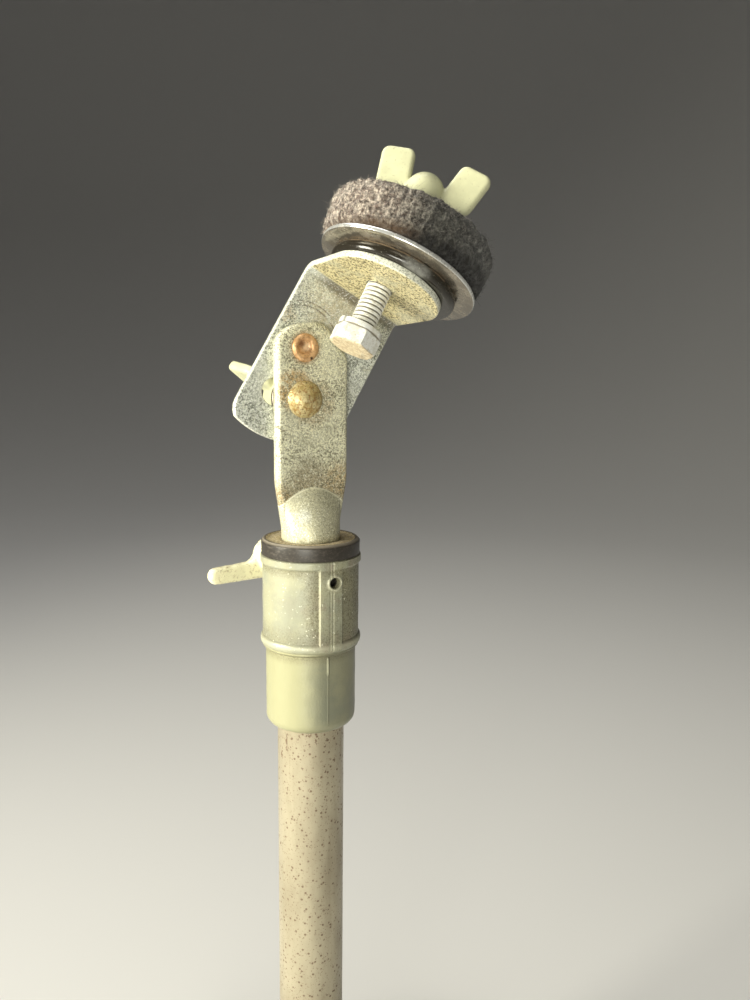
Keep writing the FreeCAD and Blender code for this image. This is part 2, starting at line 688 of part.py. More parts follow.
def top_wing_nut():
    seat = FELT_TOP + WASHER_THICKNESS + 2 * PART_GAP
    return put(put(wing_nut(), shift(0, 0, seat) * rotation(Z_AXIS, TOP_NUT_TURN)), TAB_FRAME)


def tilt_washer():
    low = LEG_FRONT + PLATE + PART_GAP
    return put(ring(8.5, 4.2, low, low + WASHER_THICKNESS), TILT_BOLT_FRAME)


def tilt_wing_nut():
    seat = LEG_FRONT + PLATE + WASHER_THICKNESS + 2 * PART_GAP
    # the bolt frame's Y axis points down, so the turn about the bolt is reversed
    return put(put(wing_nut(), shift(0, 0, seat) * rotation(Z_AXIS, -TILT_NUT_TURN)), TILT_BOLT_FRAME)


# ---------------------------------------------------------------- export
PIECES = [
    base_plate,
    rubber_feet,
    base_bolt,
    base_spring_washer,
    base_flat_washer,
    tube_plug,
    outer_tube,
    clamp_collar,
    collar_bush,
    clamp_pad,
    clamp_wing_screw,
    guide_plug,
    neck_tube,
    tilt_rivet,
    carriage_bolt,
    bracket,
    hex_bolt,
    lock_washer,
    rubber_washer,
    backing_washer,
    felt_washer,
    top_washer,
    top_wing_nut,
    tilt_washer,
    tilt_wing_nut,
]

os.makedirs("parts", exist_ok=True)
for make in PIECES:
    shape = make()
    print(make.__name__, shape.isValid(), len(shape.Solids), round(shape.Volume, 1))
    shape.exportStep("parts/" + make.__name__ + ".step")
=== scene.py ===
"""Looks for the desktop microphone stand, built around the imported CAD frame."""
import bmesh
import bpy
import json
import math
import random
from mathutils import Matrix, Vector, geometry, noise


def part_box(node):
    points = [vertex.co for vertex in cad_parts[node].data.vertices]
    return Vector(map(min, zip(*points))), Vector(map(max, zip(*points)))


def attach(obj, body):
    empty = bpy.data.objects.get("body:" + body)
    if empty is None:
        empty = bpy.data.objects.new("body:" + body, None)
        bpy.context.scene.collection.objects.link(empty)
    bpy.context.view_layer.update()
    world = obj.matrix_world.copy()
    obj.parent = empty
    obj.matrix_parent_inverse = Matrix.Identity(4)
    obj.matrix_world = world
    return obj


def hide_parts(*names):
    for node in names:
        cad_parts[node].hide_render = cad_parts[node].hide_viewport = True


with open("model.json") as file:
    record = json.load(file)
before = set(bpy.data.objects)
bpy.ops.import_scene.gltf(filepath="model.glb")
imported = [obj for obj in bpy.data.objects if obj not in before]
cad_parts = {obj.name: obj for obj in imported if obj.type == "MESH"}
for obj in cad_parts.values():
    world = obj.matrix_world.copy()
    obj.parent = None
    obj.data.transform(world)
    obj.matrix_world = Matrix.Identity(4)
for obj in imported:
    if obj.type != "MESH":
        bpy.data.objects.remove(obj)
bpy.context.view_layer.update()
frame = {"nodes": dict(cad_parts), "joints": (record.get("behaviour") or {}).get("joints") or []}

# ---------------------------------------------------------------- sizes in millimetres and degrees
MM = 0.001
JOINTS = {joint["name"]: joint for joint in frame["joints"]}
X_AXIS = Vector((1, 0, 0))
Y_AXIS = Vector((0, 1, 0))
Z_AXIS = Vector((0, 0, 1))

RING_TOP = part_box("collar_bush")[1].z / MM
TUBE_RADIUS = 11.1125
SLIDER_RADIUS = 9.525
SLIDER_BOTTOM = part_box("neck_tube")[0].z / MM
NECK_LEFT, NECK_RIGHT = -12.3, 12.55
NECK_THICKNESS = 4.1
NECK_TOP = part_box("neck_tube")[1].z / MM - RING_TOP
FLAT_START = 15.4
NECK_WAIST = 9.7
BULGE_SHAPE = 1.8
ARCH_TOP = 16.6
ARCH_DROP = 4.4          # how much lower the arch is 10 mm to each side
LEG_FRONT = 2.12
PLATE = 2.3
LEG_LEFT, LEG_RIGHT = 10.9, 25.9
TAB_LEFT = 9.5
LEG_TAPER = 1.2
LEG_ARC = 30.2
TAB_HEIGHT = 23.3
TAB_CENTRE = 19.9
BEND_INNER = 1.2
BEND_OPENING = 3.0
BOLT_FROM_LEG = 18.8
BOLT_SIDE = 7.25
FELT_TOP = 20.6
FELT_RIM_TOP = 22.8
FELT_SHIFT = 2.0
SLOT_HALF_WIDTH = 4.35
SLOT_FROM, SLOT_TO = -3.0, 79.0
SEAT_GAP = 0.05          # keeps touching faces apart
SMALL_WASHER = 1.5
BOLT_RADIUS = 3.97
HEX_LOW, HEX_TOP = -20.6, -15.3
RUBBER_RADIUS, RUBBER_TOP = 20.4, 6.0
RUBBER_SHIFT = (2.9, -0.5, 0)
BACKING_RADIUS, BACKING_TOP = 25.3, 7.5
BACKING_SHIFT = (3.1, -0.9, 0)
FELT_RADIUS = 26.5
FIBRE_COUNT = 9000
NUT_DEPTH = 12.4         # thread inside a closed wing nut
HEX_TURN, SPLIT_TURN = -128.6, -166.8
TOP_NUT_TURN, TILT_NUT_TURN, LEVER_TURN = -42.0, -143.0, -4.0
COLLAR_TOP, COLLAR_FOOT = 5.15, 62.6          # these four are depths below the ring top
BEAD_DEPTH, DRUM_FOOT = 33.3, 34.6
DRUM_RADIUS, BEAD_RADIUS, SLEEVE_RADIUS = 15.75, 16.4, 14.8
HOLE_TURN = math.radians(4.0)

PIVOT = Vector(JOINTS["bracket_tilt"]["pos_m"]) / MM
TILT_BOLT = Vector(JOINTS["tilt_nut_spin"]["pos_m"]) / MM
TAB_BOLT = Vector(JOINTS["top_nut_spin"]["pos_m"]) / MM
TAB_AXIS = Vector(JOINTS["top_nut_spin"]["axis"]).normalized()
CLAMP_POINT = Vector(JOINTS["clamp_screw_spin"]["pos_m"]) / MM
CLAMP_AXIS = Vector(JOINTS["clamp_screw_spin"]["axis"]).normalized()


def frame_matrix(origin, x, z):
    """Matrix of a local frame, in millimetres, from its origin, X direction and Z direction."""
    x = x.normalized()
    z = z.normalized()
    y = z.cross(x)
    rows = Matrix((x, y, z)).transposed().to_4x4()
    return Matrix.Translation(origin) @ rows


SIDE = Y_AXIS.cross(TAB_AXIS).normalized()
UP_LEG = SIDE.cross(Y_AXIS)
TAB = frame_matrix(TAB_BOLT, SIDE, TAB_AXIS)
BRACKET = frame_matrix(PIVOT, SIDE, SIDE.cross(Y_AXIS))
TILT = frame_matrix(TILT_BOLT, X_AXIS, Y_AXIS)
CLAMP = frame_matrix(CLAMP_POINT, Z_AXIS.cross(CLAMP_AXIS) * -1, CLAMP_AXIS)


# ---------------------------------------------------------------- mesh helpers, all in millimetres
def smooth_between(a, b, t):
    t = min(1.0, max(0.0, (t - a) / (b - a)))
    return t * t * (3 - 2 * t)


def around(count):
    return [2 * math.pi * k / count for k in range(count)]


def polar(reach, angle, z):
    return Vector((reach * math.cos(angle), reach * math.sin(angle), z))


def arc(x, z, reach, rise, first, last, steps, skip=0):
    """Points on an ellipse's arc between two angles in degrees; skip leaves points off both ends."""
    turns = [math.radians(first + (last - first) * k / steps) for k in range(skip, steps + 1 - skip)]
    return [(x + reach * math.cos(turn), z + rise * math.sin(turn)) for turn in turns]


def about_z(degrees, shift=(0, 0, 0)):
    """A turn about Z followed by a shift."""
    return Matrix.Translation(shift) @ Matrix.Rotation(math.radians(degrees), 4, "Z")


def tidy(mesh_data, merge=1e-4):
    bm = bmesh.new()
    bm.from_mesh(mesh_data)
    bmesh.ops.remove_doubles(bm, verts=bm.verts, dist=merge)
    bmesh.ops.dissolve_degenerate(bm, dist=merge, edges=bm.edges)
    bmesh.ops.recalc_face_normals(bm, faces=bm.faces)
    bm.to_mesh(mesh_data)
    bm.free()


def solid(name, vertices, faces):
    """A mesh object still in millimetres; finish_piece scales it to metres."""
    mesh_data = bpy.data.meshes.new(name)
    mesh_data.from_pydata([tuple(v) for v in vertices], [], faces)
    tidy(mesh_data)
    piece = bpy.data.objects.new(name, mesh_data)
    bpy.context.collection.objects.link(piece)
    return piece


def skin(rings, closed_loop=False):
    """Faces between equal rings of vertices; open stacks get an n-gon at each end."""
    count = len(rings[0])
    vertices = [v for one in rings for v in one]
    faces = []
    last = len(rings) if closed_loop else len(rings) - 1
    for i in range(last):
        a = i * count
        b = ((i + 1) % len(rings)) * count
        for k in range(count):
            n = (k + 1) % count
            faces.append((a + k, a + n, b + n, b + k))
    if not closed_loop:
        faces.append(tuple(range(count - 1, -1, -1)))
        base = (len(rings) - 1) * count
        faces.append(tuple(range(base, base + count)))
    return vertices, faces


def lathe(name, profile, segments=96, wobble=None):
    """Turned piece about Z. A profile that ends on the axis is capped, any other is a closed loop."""
    open_ended = profile[0][0] < 1e-6 and profile[-1][0] < 1e-6
    points = profile[1:-1] if open_ended else profile
    rings = []
    for r, z in points:
        rings.append([polar(r + (wobble(a, r, z) if wobble else 0), a, z) for a in around(segments)])
    return solid(name, *skin(rings, closed_loop=not open_ended))


def rounded(points, radius, steps=5):
    """Polyline through points with the corners turned into arcs; a point may carry its own radius."""
    result = []
    count = len(points)
    for i, point in enumerate(points):
        here = Vector(point[:2])
        before = Vector(points[i - 1][:2])
        after = Vector(points[(i + 1) % count][:2])
        r = point[2] if len(point) > 2 else radius
        a = before - here
        b = after - here
        half = a.angle(b) / 2
        if r < 1e-6 or half > math.pi / 2 - 1e-3:
            result.append(tuple(here))
            continue
        reach = min(r / math.tan(half), a.length * 0.499, b.length * 0.499)
        r = reach * math.tan(half)
        start = here + a.normalized() * reach
        end = here + b.normalized() * reach
        centre = here + (a.normalized() + b.normalized()).normalized() * (r / math.sin(half))
        first = start - centre
        turn = first.angle_signed(end - centre)
        for k in range(steps + 1):
            angle = -turn * k / steps
            result.append(tuple(centre + Matrix.Rotation(angle, 2) @ first))
    return result


def dense(loop, step):
    """The same closed loop with no gap longer than step."""
    result = []
    for i, point in enumerate(loop):
        a = Vector(point)
        b = Vector(loop[(i + 1) % len(loop)])
        parts = max(1, math.ceil((b - a).length / step))
        for k in range(parts):
            result.append(tuple(a.lerp(b, k / parts)))
    return result


def area(loop):
    total = 0.0
    for i, (x, y) in enumerate(loop):
        nx, ny = loop[(i + 1) % len(loop)]
        total += x * ny - nx * y
    return total / 2


def inset(loop, distance):
    """Loop moved towards the metal: inwards on the outline, outwards round a hole (wound clockwise)."""
    result = []
    count = len(loop)
    for i in range(count):
        a = Vector(loop[i - 1])
        b = Vector(loop[i])
        c = Vector(loop[(i + 1) % count])
        one = (b - a).normalized()
        two = (c - b).normalized()
        normal = Vector((-one.y - two.y, one.x + two.x))
        normal.normalize()
        stretch = max(0.5, normal.dot(Vector((-one.y, one.x))))
        result.append(tuple(b + normal * distance / stretch))
    return result


def sheet_metal(name, loops, thickness, rim, grid, shape):
    """Plate with rounded rims: an outline loop, then holes. shape moves each flat (x, y, z)."""
    turned = []
    for i, loop in enumerate(loops):
        anticlockwise = area(loop) > 0
        turned.append(loop if anticlockwise == (i == 0) else loop[::-1])
    steps = 5
    vertices, faces, top_loops, bottom_loops = [], [], [], []
    for loop in turned:
        count = len(loop)
        starts = []
        levels = []
        for k in range(steps):
            angle = math.radians(90 * k / (steps - 1))
            levels.append((rim * (1 - math.sin(angle)), rim * (1 - math.cos(angle))))
        levels += [(d, thickness - z) for d, z in reversed(levels)]
        for distance, z in levels:
            starts.append(len(vertices))
            moved = inset(loop, distance) if distance > 1e-6 else loop
            vertices += [Vector((x, y, z)) for x, y in moved]
        for a, b in zip(starts, starts[1:]):
            for k in range(count):
                n = (k + 1) % count
                faces.append((a + k, a + n, b + n, b + k))
        bottom_loops.append((starts[0], count))
        top_loops.append((starts[-1], count))
    faces += fill(vertices, bottom_loops, grid, 0.0, flip=True)
    faces += fill(vertices, top_loops, grid, thickness, flip=False)
    return solid(name, [Vector(shape(*v)) for v in vertices], faces)


def fill(vertices, loops, grid, z, flip):
    """Triangles over the flat area inside the first loop and outside the others."""
    flat = []
    owner = []
    edges = []
    for start, count in loops:
        base = len(flat)
        for k in range(count):
            flat.append(vertices[start + k].to_2d())
            owner.append(start + k)
            edges.append((base + k, base + (k + 1) % count))
    outer = flat[: loops[0][1]]
    low_x, high_x = min(p.x for p in outer), max(p.x for p in outer)
    low_y, high_y = min(p.y for p in outer), max(p.y for p in outer)
    rows = int((high_y - low_y) / grid)
    columns = int((high_x - low_x) / grid)
    for i in range(1, rows):
        for k in range(1, columns):
            flat.append(Vector((low_x + k * grid, low_y + i * grid)))
            owner.append(None)
    made = geometry.delaunay_2d_cdt(flat, edges, [], 2, 1e-5)
    points, triangles, sources = made[0], made[2], made[3]
    index = []
    for point, source in zip(points, sources):
        known = [owner[s] for s in source if owner[s] is not None]
        if known:
            index.append(known[0])
        else:
            index.append(len(vertices))
            vertices.append(Vector((point.x, point.y, z)))
    kept = []
    for triangle in triangles:
        middle = sum((points[k] for k in triangle), Vector((0, 0))) / 3
        if crossings(middle, flat, edges) % 2 == 1:
            corners = [index[k] for k in triangle]
            kept.append(tuple(reversed(corners)) if flip else tuple(corners))
    return kept


def crossings(point, corners, edges):
    """How many boundary edges a line from the point towards +X crosses."""
    count = 0
    for a, b in edges:
        one, two = corners[a], corners[b]
        if (one.y > point.y) != (two.y > point.y):
            if point.x < one.x + (two.x - one.x) * (point.y - one.y) / (two.y - one.y):
                count += 1
    return count


def evaluated(piece):
    """Applies the piece's modifiers."""
    graph = bpy.context.evaluated_depsgraph_get()
    made = bpy.data.meshes.new_from_object(piece.evaluated_get(graph))
    old = piece.data
    piece.modifiers.clear()
    piece.data = made
    bpy.data.meshes.remove(old)
    return piece


def join(first, other, operation="UNION"):
    boolean = first.modifiers.new("join", "BOOLEAN")
    boolean.operation = operation
    boolean.solver = "EXACT"
    boolean.object = other
    evaluated(first)
    bpy.data.objects.remove(other)
    return first


def cast(piece, voxel, passes=4):
    """Blends joined solids into one soft-edged casting."""
    remesh = piece.modifiers.new("remesh", "REMESH")
    remesh.mode = "VOXEL"
    remesh.voxel_size = voxel
    soft = piece.modifiers.new("soft", "SMOOTH")
    soft.factor = 0.5
    soft.iterations = passes
    return evaluated(piece)


def place(piece, matrix):
    piece.data.transform(matrix)
    return piece


def roughen(piece, amount, scale, seed=0.0):
    """Moves each vertex along its normal by smooth noise; scale is lumps per millimetre."""
    offset = Vector((seed, seed * 1.7, seed * 0.3))
    for vertex in piece.data.vertices:
        bump = noise.noise(vertex.co * scale + offset)
        vertex.co += vertex.normal * bump * amount
    return piece


def finish_piece(piece, body, nodes, material, sharp=35.0):
    """Millimetres to metres, smooth shading with sharp edges, material and body; hides the CAD nodes it
    replaces.
    """
    piece.data.transform(Matrix.Scale(MM, 4))
    piece.data.shade_smooth()
    if sharp:
        piece.data.set_sharp_from_angle(angle=math.radians(sharp))
    piece.data.materials.clear()
    piece.data.materials.append(material)
    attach(piece, body)
    if nodes:
        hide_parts(*nodes)
    return piece


# ---------------------------------------------------------------- materials
class Look:
    """Small builder for a procedural material on object coordinates, with sizes in millimetres."""

    def __init__(self, name, roughness=0.5, metallic=0.0):
        self.material = bpy.data.materials.new(name)
        self.material.use_nodes = True
        self.tree = self.material.node_tree
        self.shader = self.tree.nodes["Principled BSDF"]
        self.shader.inputs["Roughness"].default_value = roughness
        self.shader.inputs["Metallic"].default_value = metallic
        self.position = self.node("ShaderNodeTexCoord").outputs["Object"]
        self.base = None

    def node(self, kind, **settings):
        made = self.tree.nodes.new(kind)
        for key, value in settings.items():
            setattr(made, key, value)
        return made

    def link(self, value, socket):
        if isinstance(value, bpy.types.NodeSocket):
            self.tree.links.new(value, socket)
        elif isinstance(value, (tuple, list)) and len(value) == 3 and socket.type == "RGBA":
            socket.default_value = (*value, 1.0)
        else:
            socket.default_value = value

    def calc(self, operation, a, b=0.0, c=0.0):
        made = self.node("ShaderNodeMath", operation=operation)
        self.link(a, made.inputs[0])
        self.link(b, made.inputs[1])
        self.link(c, made.inputs[2])
        return made.outputs[0]

    def noise(self, size, detail=3.0, rough=0.55, stretch=(1, 1, 1), warp=0.0):
        """Noise with lumps of the given size in millimetres; stretch squeezes it along each axis."""
        mapping = self.node("ShaderNodeMapping")
        mapping.inputs["Scale"].default_value = stretch
        self.link(self.position, mapping.inputs["Vector"])
        made = self.node("ShaderNodeTexNoise")
        self.link(mapping.outputs[0], made.inputs["Vector"])
        made.inputs["Scale"].default_value = 1.0 / (size * MM)
        made.inputs["Detail"].default_value = detail
        made.inputs["Roughness"].default_value = rough
        made.inputs["Distortion"].default_value = warp
        return made.outputs["Fac"]

    def cells(self, size, feature="F1"):
        made = self.node("ShaderNodeTexVoronoi", feature=feature)
        self.link(self.position, made.inputs["Vector"])
        made.inputs["Scale"].default_value = 1.0 / (size * MM)
        return made.outputs["Distance"]

    def ramp(self, value, low, high):
        """0 below low, 1 above high."""
        made = self.node("ShaderNodeMapRange", interpolation_type="SMOOTHSTEP")
        self.link(value, made.inputs["Value"])
        made.inputs["From Min"].default_value = low
        made.inputs["From Max"].default_value = high
        return made.outputs["Result"]

    def cloud(self, low, high, *noise_settings, **more):
        """Noise, settings as for noise(), turned into 0 below low and 1 above high."""
        return self.ramp(self.noise(*noise_settings, **more), low, high)

    def product(self, *values):
        result = values[0]
        for value in values[1:]:
            result = self.calc("MULTIPLY", result, value)
        return result

    def inverse(self, value):
        return self.calc("SUBTRACT", 1.0, value)

    def larger(self, a, b):
        return self.calc("MAXIMUM", a, b)

    def scaled(self, value, factor, offset):
        """value x factor + offset."""
        return self.calc("MULTIPLY_ADD", value, factor, offset)

    def mix(self, a, b, *amounts):
        """Colour a turning into b as the product of the amounts goes from 0 to 1."""
        made = self.node("ShaderNodeMix", data_type="RGBA")
        self.link(self.product(*amounts), made.inputs[0])
        self.link(a, made.inputs[6])
        self.link(b, made.inputs[7])
        return made.outputs[2]

    def vector(self, operation, value, constant=(0, 0, 0), output="Value"):
        made = self.node("ShaderNodeVectorMath", operation=operation)
        self.link(value, made.inputs[0])
        made.inputs[1].default_value = constant
        return made.outputs[output]

    def distance(self, point):
        return self.vector("DISTANCE", self.position, Vector(point) * MM)

    def paint(self, colour, *amounts):
        """Lays a colour over what is painted so far."""
        self.base = self.mix(self.base, colour, *amounts)

    def near(self, point, inner, outer):
        """1 within inner millimetres of a point, 0 beyond outer."""
        return self.ramp(self.distance(point), outer * MM, inner * MM)

    def band(self, point, radius, width):
        """1 on the sphere of that radius round a point, 0 beyond half the width."""
        off = self.calc("ABSOLUTE", self.calc("SUBTRACT", self.distance(point), radius * MM))
        return self.ramp(off, width / 2 * MM, 0.0)

    def radial(self, low, high):
        """0 to 1 as the distance from the stand's axis goes from low to high millimetres."""
        flat = self.vector("MULTIPLY", self.position, (1, 1, 0), "Vector")
        return self.ramp(self.vector("LENGTH", flat), low * MM, high * MM)

    def along(self, axis, origin, low, high):
        """0 to 1 as a point moves along axis from low to high millimetres past origin."""
        offset = self.vector("SUBTRACT", self.position, Vector(origin) * MM, "Vector")
        return self.ramp(self.vector("DOT_PRODUCT", offset, Vector(axis)), low * MM, high * MM)

    def attribute(self, name):
        return self.node("ShaderNodeAttribute", attribute_name=name).outputs["Fac"]

    def colour(self, value):
        self.link(value, self.shader.inputs["Base Color"])

    def paint_done(self):
        self.colour(self.base)

    def vary(self, socket, low, high, amount):
        """A shader input that goes from low to high as amount goes from 0 to 1."""
        made = self.node("ShaderNodeMapRange")
        self.link(amount, made.inputs["Value"])
        made.inputs["To Min"].default_value = low
        made.inputs["To Max"].default_value = high
        self.link(made.outputs["Result"], self.shader.inputs[socket])

    def rough(self, low, high, amount):
        self.vary("Roughness", low, high, amount)

    def bump(self, height, depth, strength=1.0):
        """Bump from a 0 to 1 height, depth in millimetres. Later bumps stack on earlier ones."""
        made = self.node("ShaderNodeBump")
        self.link(height, made.inputs["Height"])
        made.inputs["Distance"].default_value = depth * MM
        made.inputs["Strength"].default_value = strength
        normal = self.shader.inputs["Normal"]
        if normal.is_linked:
            self.tree.links.new(normal.links[0].from_socket, made.inputs["Normal"])
        self.tree.links.new(made.outputs[0], normal)


def zinc_look(name, light, dark, stain, spots, under, over):
    """Old zinc plate: pale frost, brown stains and rust halos, with dark speckle over all of them.

    under paints beneath the speckle and gives back its density, over paints on top of it.
    """
    look = Look(name, 0.5, 0.22)
    speckle = look.cloud(0.515, 0.56, 0.62, 2.0, 0.9)
    fine = look.cloud(0.52, 0.60, 0.36, 1.0, 0.6)
    glint = look.cloud(0.55, 0.64, 0.45, 2.0, 0.7)
    frost = look.cloud(0.36, 0.66, 7.0, 3.0, 0.6)
    dense_area = look.cloud(0.30, 0.62, 11.0, 2.0, 0.6)
    stains = look.cloud(0.52, 0.74, 8.0, 4.0, 0.65, warp=0.6)
    look.base = look.mix(light, [c * 0.80 for c in light], frost)
    look.paint(stain, stains, 0.5)
    for point, inner, outer, colour, strength in spots:
        halo = look.near(point, inner, outer)
        broken = look.cloud(0.30, 0.60, 1.3, 4.0, 0.7)
        look.paint(colour, halo, broken, strength)
    density = under(look)
    look.paint([min(1.0, c * 1.3) for c in light], glint, 0.75)
    amount = look.product(speckle, look.scaled(dense_area, 0.45, 0.55))
    amount = look.product(look.larger(amount, look.product(fine, 0.55)), density)
    look.paint(dark, look.calc("MINIMUM", amount, 0.95))
    over(look, speckle)
    look.paint_done()
    look.rough(0.38, 0.62, speckle)
    look.bump(look.noise(0.5, 3.0, 0.7), 0.07, 0.9)
    look.bump(look.noise(5.0, 2.0), 0.14, 0.4)
    return look.material


def make_neck_look():
    """Yellowed zinc with rust halos round the bolt, the rivet and both lower edges."""
    front = Vector((0, -NECK_THICKNESS / 2, 0))
    halo = TILT_BOLT + front + Vector((-3.6, 0, 3.0))
    spots = [
        (halo, 4.6, 7.6, (0.58, 0.36, 0.13), 0.9),
        (TILT_BOLT + front + Vector((3, 0, -1)), 5.6, 8.5, (0.44, 0.33, 0.18), 0.6),
        (PIVOT + front, 4.6, 6.2, (0.42, 0.28, 0.14), 0.8),
        (Vector((NECK_RIGHT - 3, -2, RING_TOP + 17.5)), 3.0, 9.0, (0.60, 0.42, 0.20), 0.9),
        (Vector((NECK_RIGHT - 14, -2, RING_TOP + 20.5)), 3.0, 8.0, (0.36, 0.32, 0.22), 0.8),
        (Vector((NECK_LEFT + 1.5, -2, RING_TOP + 12.5)), 2.0, 6.5, (0.64, 0.44, 0.20), 0.95),
        (Vector((-8, -4, RING_TOP + 3)), 2.0, 7.5, (0.70, 0.58, 0.34), 0.6),
    ]

    def above_arch(look):
        """Height in metres over the arch where the flat of the plate begins."""
        parts = look.node("ShaderNodeSeparateXYZ")
        look.link(look.position, parts.inputs[0])
        across = look.product(parts.outputs["X"], 0.1 / MM)
        drop = look.product(across, across, ARCH_DROP * MM)
        height = look.calc("SUBTRACT", parts.outputs["Z"], (RING_TOP + ARCH_TOP) * MM)
        return look.calc("ADD", height, drop)

    def under(look):
        """Grime on the flat just above the arch, where most of the specks are too, and a painted
        highlight on the left of the bulge.
        """
        above = above_arch(look)
        flat = look.ramp(above, -0.3 * MM, 0.2 * MM)
        grime = look.product(flat, look.ramp(above, 11 * MM, 1 * MM))
        patchy = look.scaled(look.cloud(0.3, 0.6, 2.5, 4.0, 0.7), 0.4, 0.35)
        look.paint((0.4, 0.33, 0.2), grime, patchy)
        look.paint((0.62, 0.60, 0.42), look.inverse(flat))
        # Painted highlight on the left of the bulge below the arch.
        look.paint((0.86, 0.90, 0.84), look.near((-6.0, -8.5, RING_TOP + 9.0), 1.0, 4.5))
        return look.scaled(flat, 0.35, look.scaled(grime, 0.3, 0.55))

    def over(look, speckle):
        """A pale line along the arch."""
        below = look.calc("ABSOLUTE", look.calc("ADD", above_arch(look), 0.45 * MM))
        line = look.product(look.ramp(below, 0.34 * MM, 0.1 * MM), look.cloud(0.3, 0.5, 1.0))
        look.paint((0.9, 0.87, 0.66), line, 0.9)

    light, dark, stain = (0.90, 0.88, 0.64), (0.14, 0.125, 0.07), (0.66, 0.57, 0.36)
    return zinc_look("neck_zinc_look", light, dark, stain, spots, under, over)


def make_bracket_look():
    """Bluish zinc on the leg, yellow corrosion under the tab, brown wear arcs round the pivot."""
    face = PIVOT + Vector((0, LEG_FRONT, 0))
    upper = face + SIDE * 4 + UP_LEG * 17
    spots = [
        (upper, 5.0, 15.0, (0.54, 0.47, 0.30), 0.75),
        (upper + SIDE * 8, 4.0, 12.0, (0.60, 0.55, 0.40), 0.6),
        (face + SIDE * -9 + UP_LEG * 7, 1.0, 4.5, (0.52, 0.38, 0.18), 0.7),
    ]

    def under(look):
        """Painted shade in the fold and two worn arcs round the pivot; fewest specks at the top of the
        leg.
        """
        front = look.along(Y_AXIS * -1, face, 1.8, 3.0)
        leg = look.inverse(front)
        # Painted shadow on the leg just below the bend, deepening towards the bolt.
        painted_fold_shade = look.product(look.along(TAB_AXIS, TAB_BOLT, -3.4, -1.0),
                            look.along(SIDE, TAB_BOLT, -17.0, -6.0))
        look.paint((0.15, 0.12, 0.07), painted_fold_shade, leg, 0.85)
        arcs = look.larger(look.band(face, 13.3, 0.9), look.band(face, 14.6, 0.7))
        arcs = look.product(arcs, look.along(UP_LEG, face, 3.0, 8.0), leg)
        broken = look.cloud(0.38, 0.50, 3.0, 3.0, 0.6)
        look.paint((0.14, 0.1, 0.05), arcs, broken, 0.85)
        smooth = look.product(look.near(upper + SIDE * 4, 6.0, 16.0), leg)
        return look.scaled(smooth, -0.55, 1.0)

    def over(look, speckle):
        """Yellow granular corrosion under the tab and pale bare metal round the rim."""
        front = look.along(Y_AXIS * -1, face, 1.8, 3.0)
        below = look.along(TAB_AXIS * -1, TAB_BOLT, -0.35, 0.05)
        grain = look.cloud(0.505, 0.55, 0.8, 3.0, 0.9)
        clean = look.cloud(0.50, 0.62, 9.0, 3.0, 0.6)
        yellow = look.mix((0.72, 0.64, 0.38), (0.08, 0.06, 0.015), grain)
        yellow = look.mix(yellow, (0.5, 0.49, 0.35), clean, 0.5)
        look.paint(yellow, front, below)
        rim = look.product(look.attribute("rim"), look.scaled(speckle, -0.5, 0.85))
        look.paint((0.84, 0.84, 0.70), rim)

    light, dark, stain = (0.86, 0.885, 0.78), (0.15, 0.16, 0.125), (0.58, 0.55, 0.38)
    return zinc_look("bracket_zinc_look", light, dark, stain, spots, under, over)


def make_collar_look():
    """Yellowed die casting, smooth on the sleeve, speckled and stained on the drum; the sleeve is
    painted lighter on its left as painted light with some yellowing, and painted shade lies on the
    right panel and in the small hole.
    """
    look = Look("die_cast_look", 0.46, 0.10)
    # Per-vertex amount: darkening round the lip and bead, a dark seam, and painted shade on the right
    # panel and down the small hole.
    grime_and_shade = look.attribute("grime_and_shade")
    edge = look.attribute("edge")
    drum = look.along(Z_AXIS, (0, 0, RING_TOP - DRUM_FOOT + 0.1), -0.6, 0.6)
    broad = look.cloud(0.36, 0.66, 9.0, 3.0, 0.6)
    grain = look.cloud(0.47, 0.62, 0.55, 3.0, 0.75)
    pale = look.cloud(0.70, 0.74, 0.9, 1.0, 0.5)
    stain = look.cloud(0.50, 0.66, 6.0, 4.0, 0.65, warp=0.5)
    # 0 on the left, 1 towards the middle: the sleeve is painted lighter on the left as painted light,
    #                                      with some yellowing.
    turned = look.along(X_AXIS, (0, 0, 0), -11.0, -1.0)
    sleeve_base = look.mix((0.27, 0.265, 0.172), (0.215, 0.22, 0.155), broad)
    drum_base = look.mix((0.375, 0.37, 0.248), (0.31, 0.315, 0.232), broad)
    look.base = look.mix((0.375, 0.365, 0.215), sleeve_base, turned)
    look.paint(drum_base, drum)
    look.paint((0.28, 0.235, 0.18), stain, drum, look.scaled(turned, 0.5, 0.15))
    look.paint((0.19, 0.18, 0.115), grain, turned, look.scaled(drum, 0.45, 0.08))
    # Grime and painted shade, laid on as one dark brown.
    grime = look.product(grime_and_shade, look.scaled(grain, 0.6, 0.5))
    look.paint((0.13, 0.11, 0.055), look.calc("MINIMUM", grime, 0.9))
    look.paint((0.66, 0.65, 0.5), pale, drum, 0.8)
    look.paint((0.6, 0.59, 0.43), edge, 0.4)
    # Near-black painted shade down the small hole.
    look.paint((0.012, 0.010, 0.007), look.ramp(grime_and_shade, 1.05, 1.5))
    look.paint_done()
    look.rough(0.36, 0.62, look.product(grain, drum))
    look.bump(look.noise(0.6, 3.0, 0.7), 0.09, 0.8)
    look.bump(look.noise(4.0, 2.0), 0.12, 0.35)
    return look.material


